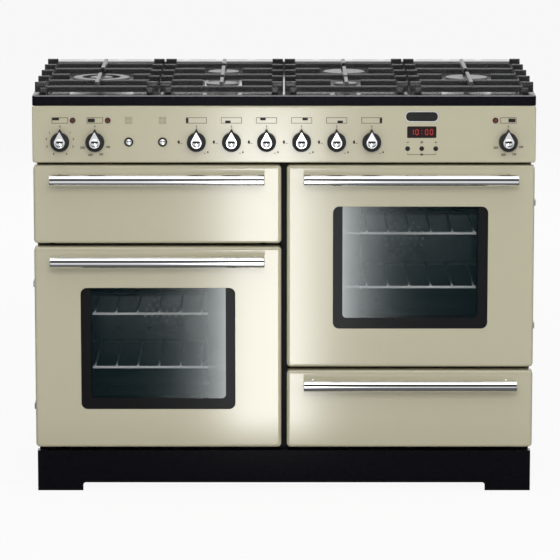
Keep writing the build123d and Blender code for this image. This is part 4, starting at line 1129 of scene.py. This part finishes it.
class COOKER_OT_stage(bpy.types.Operator):
    """Set up the floor, the light and the camera"""

    bl_idname = "cooker.stage"
    bl_label = "Studio"

    def execute(self, context):
        stage = settings()[2]
        scene = context.scene
        scene.view_settings.view_transform = "Standard"
        self.sky(scene, stage)
        self.floor(stage)
        self.far_wall()
        self.softboxes(stage)
        lens = bpy.data.cameras.new("photo_camera")
        lens.lens = stage.lens
        camera = new_object("photo_camera", lens)
        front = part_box("drawer_front")[0].y
        camera.location = (stage.camera_side, front - stage.camera_distance, stage.camera_height)
        camera.rotation_euler = (math.pi / 2 - stage.camera_tilt, 0.0, 0.0)
        scene.camera = camera
        return {"FINISHED"}

    def sky(self, scene, stage):
        """White to the eye and in reflections, softer as a light."""
        paint = Paint(bpy.data.worlds.new("studio_sky"))
        light, white = (
            paint.node("ShaderNodeBackground", {}, {"Color": (1.0, 1.0, 1.0, 1.0), "Strength": strength})
            for strength in (stage.sky, 1.0)
        )
        scene.world = paint.show(paint.blend(light, white, self.seen(paint)), "ShaderNodeOutputWorld")

    def seen(self, paint):
        """1 for rays that look at the stage or mirror it, 0 for rays that light the cooker."""
        camera, glossy, through = paint.rays("Is Camera Ray", "Is Glossy Ray", "Is Transmission Ray")
        return camera.at_least(glossy).at_least(through)

    def floor(self, stage):
        """Pale floor that keeps the shadow, with a bright strip before the cooker for its gloss."""
        reach, white_share = 30.0, 0.92
        plain_strength, shaded_strength, shaded_depth = 0.75, 0.12, 2.0
        paint = new_paint("studio_floor")
        pale = paint.node("ShaderNodeBsdfDiffuse", {}, {"Color": (0.86, 0.86, 0.85, 1.0)})
        x, y, _ = paint.axes()
        spread = 1.0 - y / stage.camera_distance
        offset = (x / spread - stage.glow_side) / stage.glow_width
        strip = 1.0 / (1.0 + offset * offset * offset * offset)
        near = paint.ramp(1.0 + y / shaded_depth, [(0.45, 0.0), (0.65, 1.0)])
        white, plain, bright, shaded = (
            paint.node("ShaderNodeEmission", {}, {"Strength": strength})
            for strength in (1.0, plain_strength, stage.glow, shaded_strength)
        )
        gloss = paint.blend(paint.blend(plain, bright, strip * (y < 0.0)), shaded, near)
        shown = paint.blend(pale, white, white_share * self.seen(paint))
        material = paint.show(paint.blend(shown, gloss, paint.rays("Is Glossy Ray")[0]))
        corners = [(-reach, -reach, 0.0), (reach, -reach, 0.0), (reach, reach, 0.0), (-reach, reach, 0.0)]
        floor = self.sheet("studio_floor", corners, material)

    def far_wall(self):
        """Dark wall behind the camera that only reflections see."""
        width, height, distance = 20.0, 6.4, 7.5
        paint = new_paint("studio_wall")
        grey = paint.mix((0.03, 0.03, 0.03, 1.0), (0.06, 0.06, 0.06, 1.0), paint.noise(0.5))
        material = paint.show(paint.node("ShaderNodeEmission", {}, {"Color": grey, "Strength": 1.0}))
        corners = [(-width, 0.0), (width, 0.0), (width, height), (-width, height)]
        wall = self.sheet("studio_wall", [(x, -distance, z) for x, z in corners], material)
        wall.visible_camera = False
        wall.visible_diffuse = False
        wall.visible_shadow = False
        wall.visible_transmission = False

    def sheet(self, name, corners, material):
        """One flat face of the studio."""
        mesh = bpy.data.meshes.new(name)
        mesh.from_pydata(corners, [], [range(len(corners))])
        mesh.materials.append(material)
        return new_object(name, mesh)

    def softboxes(self, stage):
        """Five rectangular lights, of which gloss shows only the one overhead."""
        wide, tall, small = (3.2, 2.2), (1.8, 2.4), (2.4, 1.6)
        key_tilt, fill_tilt, end_tilt = 0.5, math.radians(68.0), math.radians(66.0)
        fill_turn = math.radians(42.0)
        lights = (
            ("key_softbox", (0.0, -1.9, 3.3), (key_tilt, 0.0, 0.0), wide, stage.key),
            ("fill_softbox_left", (-3.2, -3.4, 1.9), (fill_tilt, 0.0, -fill_turn), tall, stage.fill_left),
            ("fill_softbox_right", (3.2, -3.4, 1.9), (fill_tilt, 0.0, fill_turn), tall, stage.fill_right),
            ("front_softbox", (0.0, -6.0, 3.0), (end_tilt, 0.0, 0.0), small, stage.front),
            ("back_softbox", (0.0, 4.5, 2.6), (-end_tilt, 0.0, 0.0), small, stage.back),
        )
        for name, place, turn, size, power in lights:
            light = bpy.data.lights.new(name, "AREA")
            light.shape = "RECTANGLE"
            light.size, light.size_y = size
            light.energy = power
            lamp = new_object(name, light)
            lamp.location = place
            lamp.rotation_euler = turn
            lamp.visible_glossy = name == "key_softbox"


class COOKER_PT_panel(bpy.types.Panel):
    """Sidebar with the cooker's settings and the buttons of its dressing steps"""

    bl_idname = "COOKER_PT_panel"
    bl_label = "Range cooker"
    bl_space_type = "VIEW_3D"
    bl_region_type = "UI"
    bl_category = "Cooker"

    def draw(self, context):
        for group in settings():
            for name in group.__annotations__:
                self.layout.prop(group, name)
        for operator in OPERATORS:
            self.layout.operator(operator.bl_idname)


OPERATORS = (
    COOKER_OT_finishes,
    COOKER_OT_rims,
    COOKER_OT_castings,
    COOKER_OT_lamps,
    COOKER_OT_knobs,
    COOKER_OT_burners,
    COOKER_OT_panel_marks,
    COOKER_OT_clock,
    COOKER_OT_blank_plate,
    COOKER_OT_seals,
    COOKER_OT_screws,
    COOKER_OT_stage,
)
GROUPS = {
    "cooker_finishes": CookerFinishes,
    "cooker_marks": CookerMarks,
    "cooker_stage": CookerStage,
}


def register():
    for group in GROUPS.values():
        bpy.utils.register_class(group)
    for operator in OPERATORS:
        bpy.utils.register_class(operator)
    bpy.utils.register_class(COOKER_PT_panel)
    for name, group in GROUPS.items():
        setattr(bpy.types.Scene, name, PointerProperty(type=group))


def unregister():
    for name in GROUPS:
        delattr(bpy.types.Scene, name)
    bpy.utils.unregister_class(COOKER_PT_panel)
    for operator in reversed(OPERATORS):
        bpy.utils.unregister_class(operator)
    for group in reversed(GROUPS.values()):
        bpy.utils.unregister_class(group)


def main():
    """Registers the add-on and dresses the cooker."""
    register()
    bpy.ops.cooker.finishes()
    bpy.ops.cooker.rims()
    bpy.ops.cooker.castings()
    bpy.ops.cooker.lamps()
    bpy.ops.cooker.knobs()
    bpy.ops.cooker.burners()
    bpy.ops.cooker.panel_marks()
    bpy.ops.cooker.clock()
    bpy.ops.cooker.blank_plate()
    bpy.ops.cooker.seals()
    bpy.ops.cooker.screws()
    bpy.ops.cooker.stage()


if __name__ == "__main__":
    main()
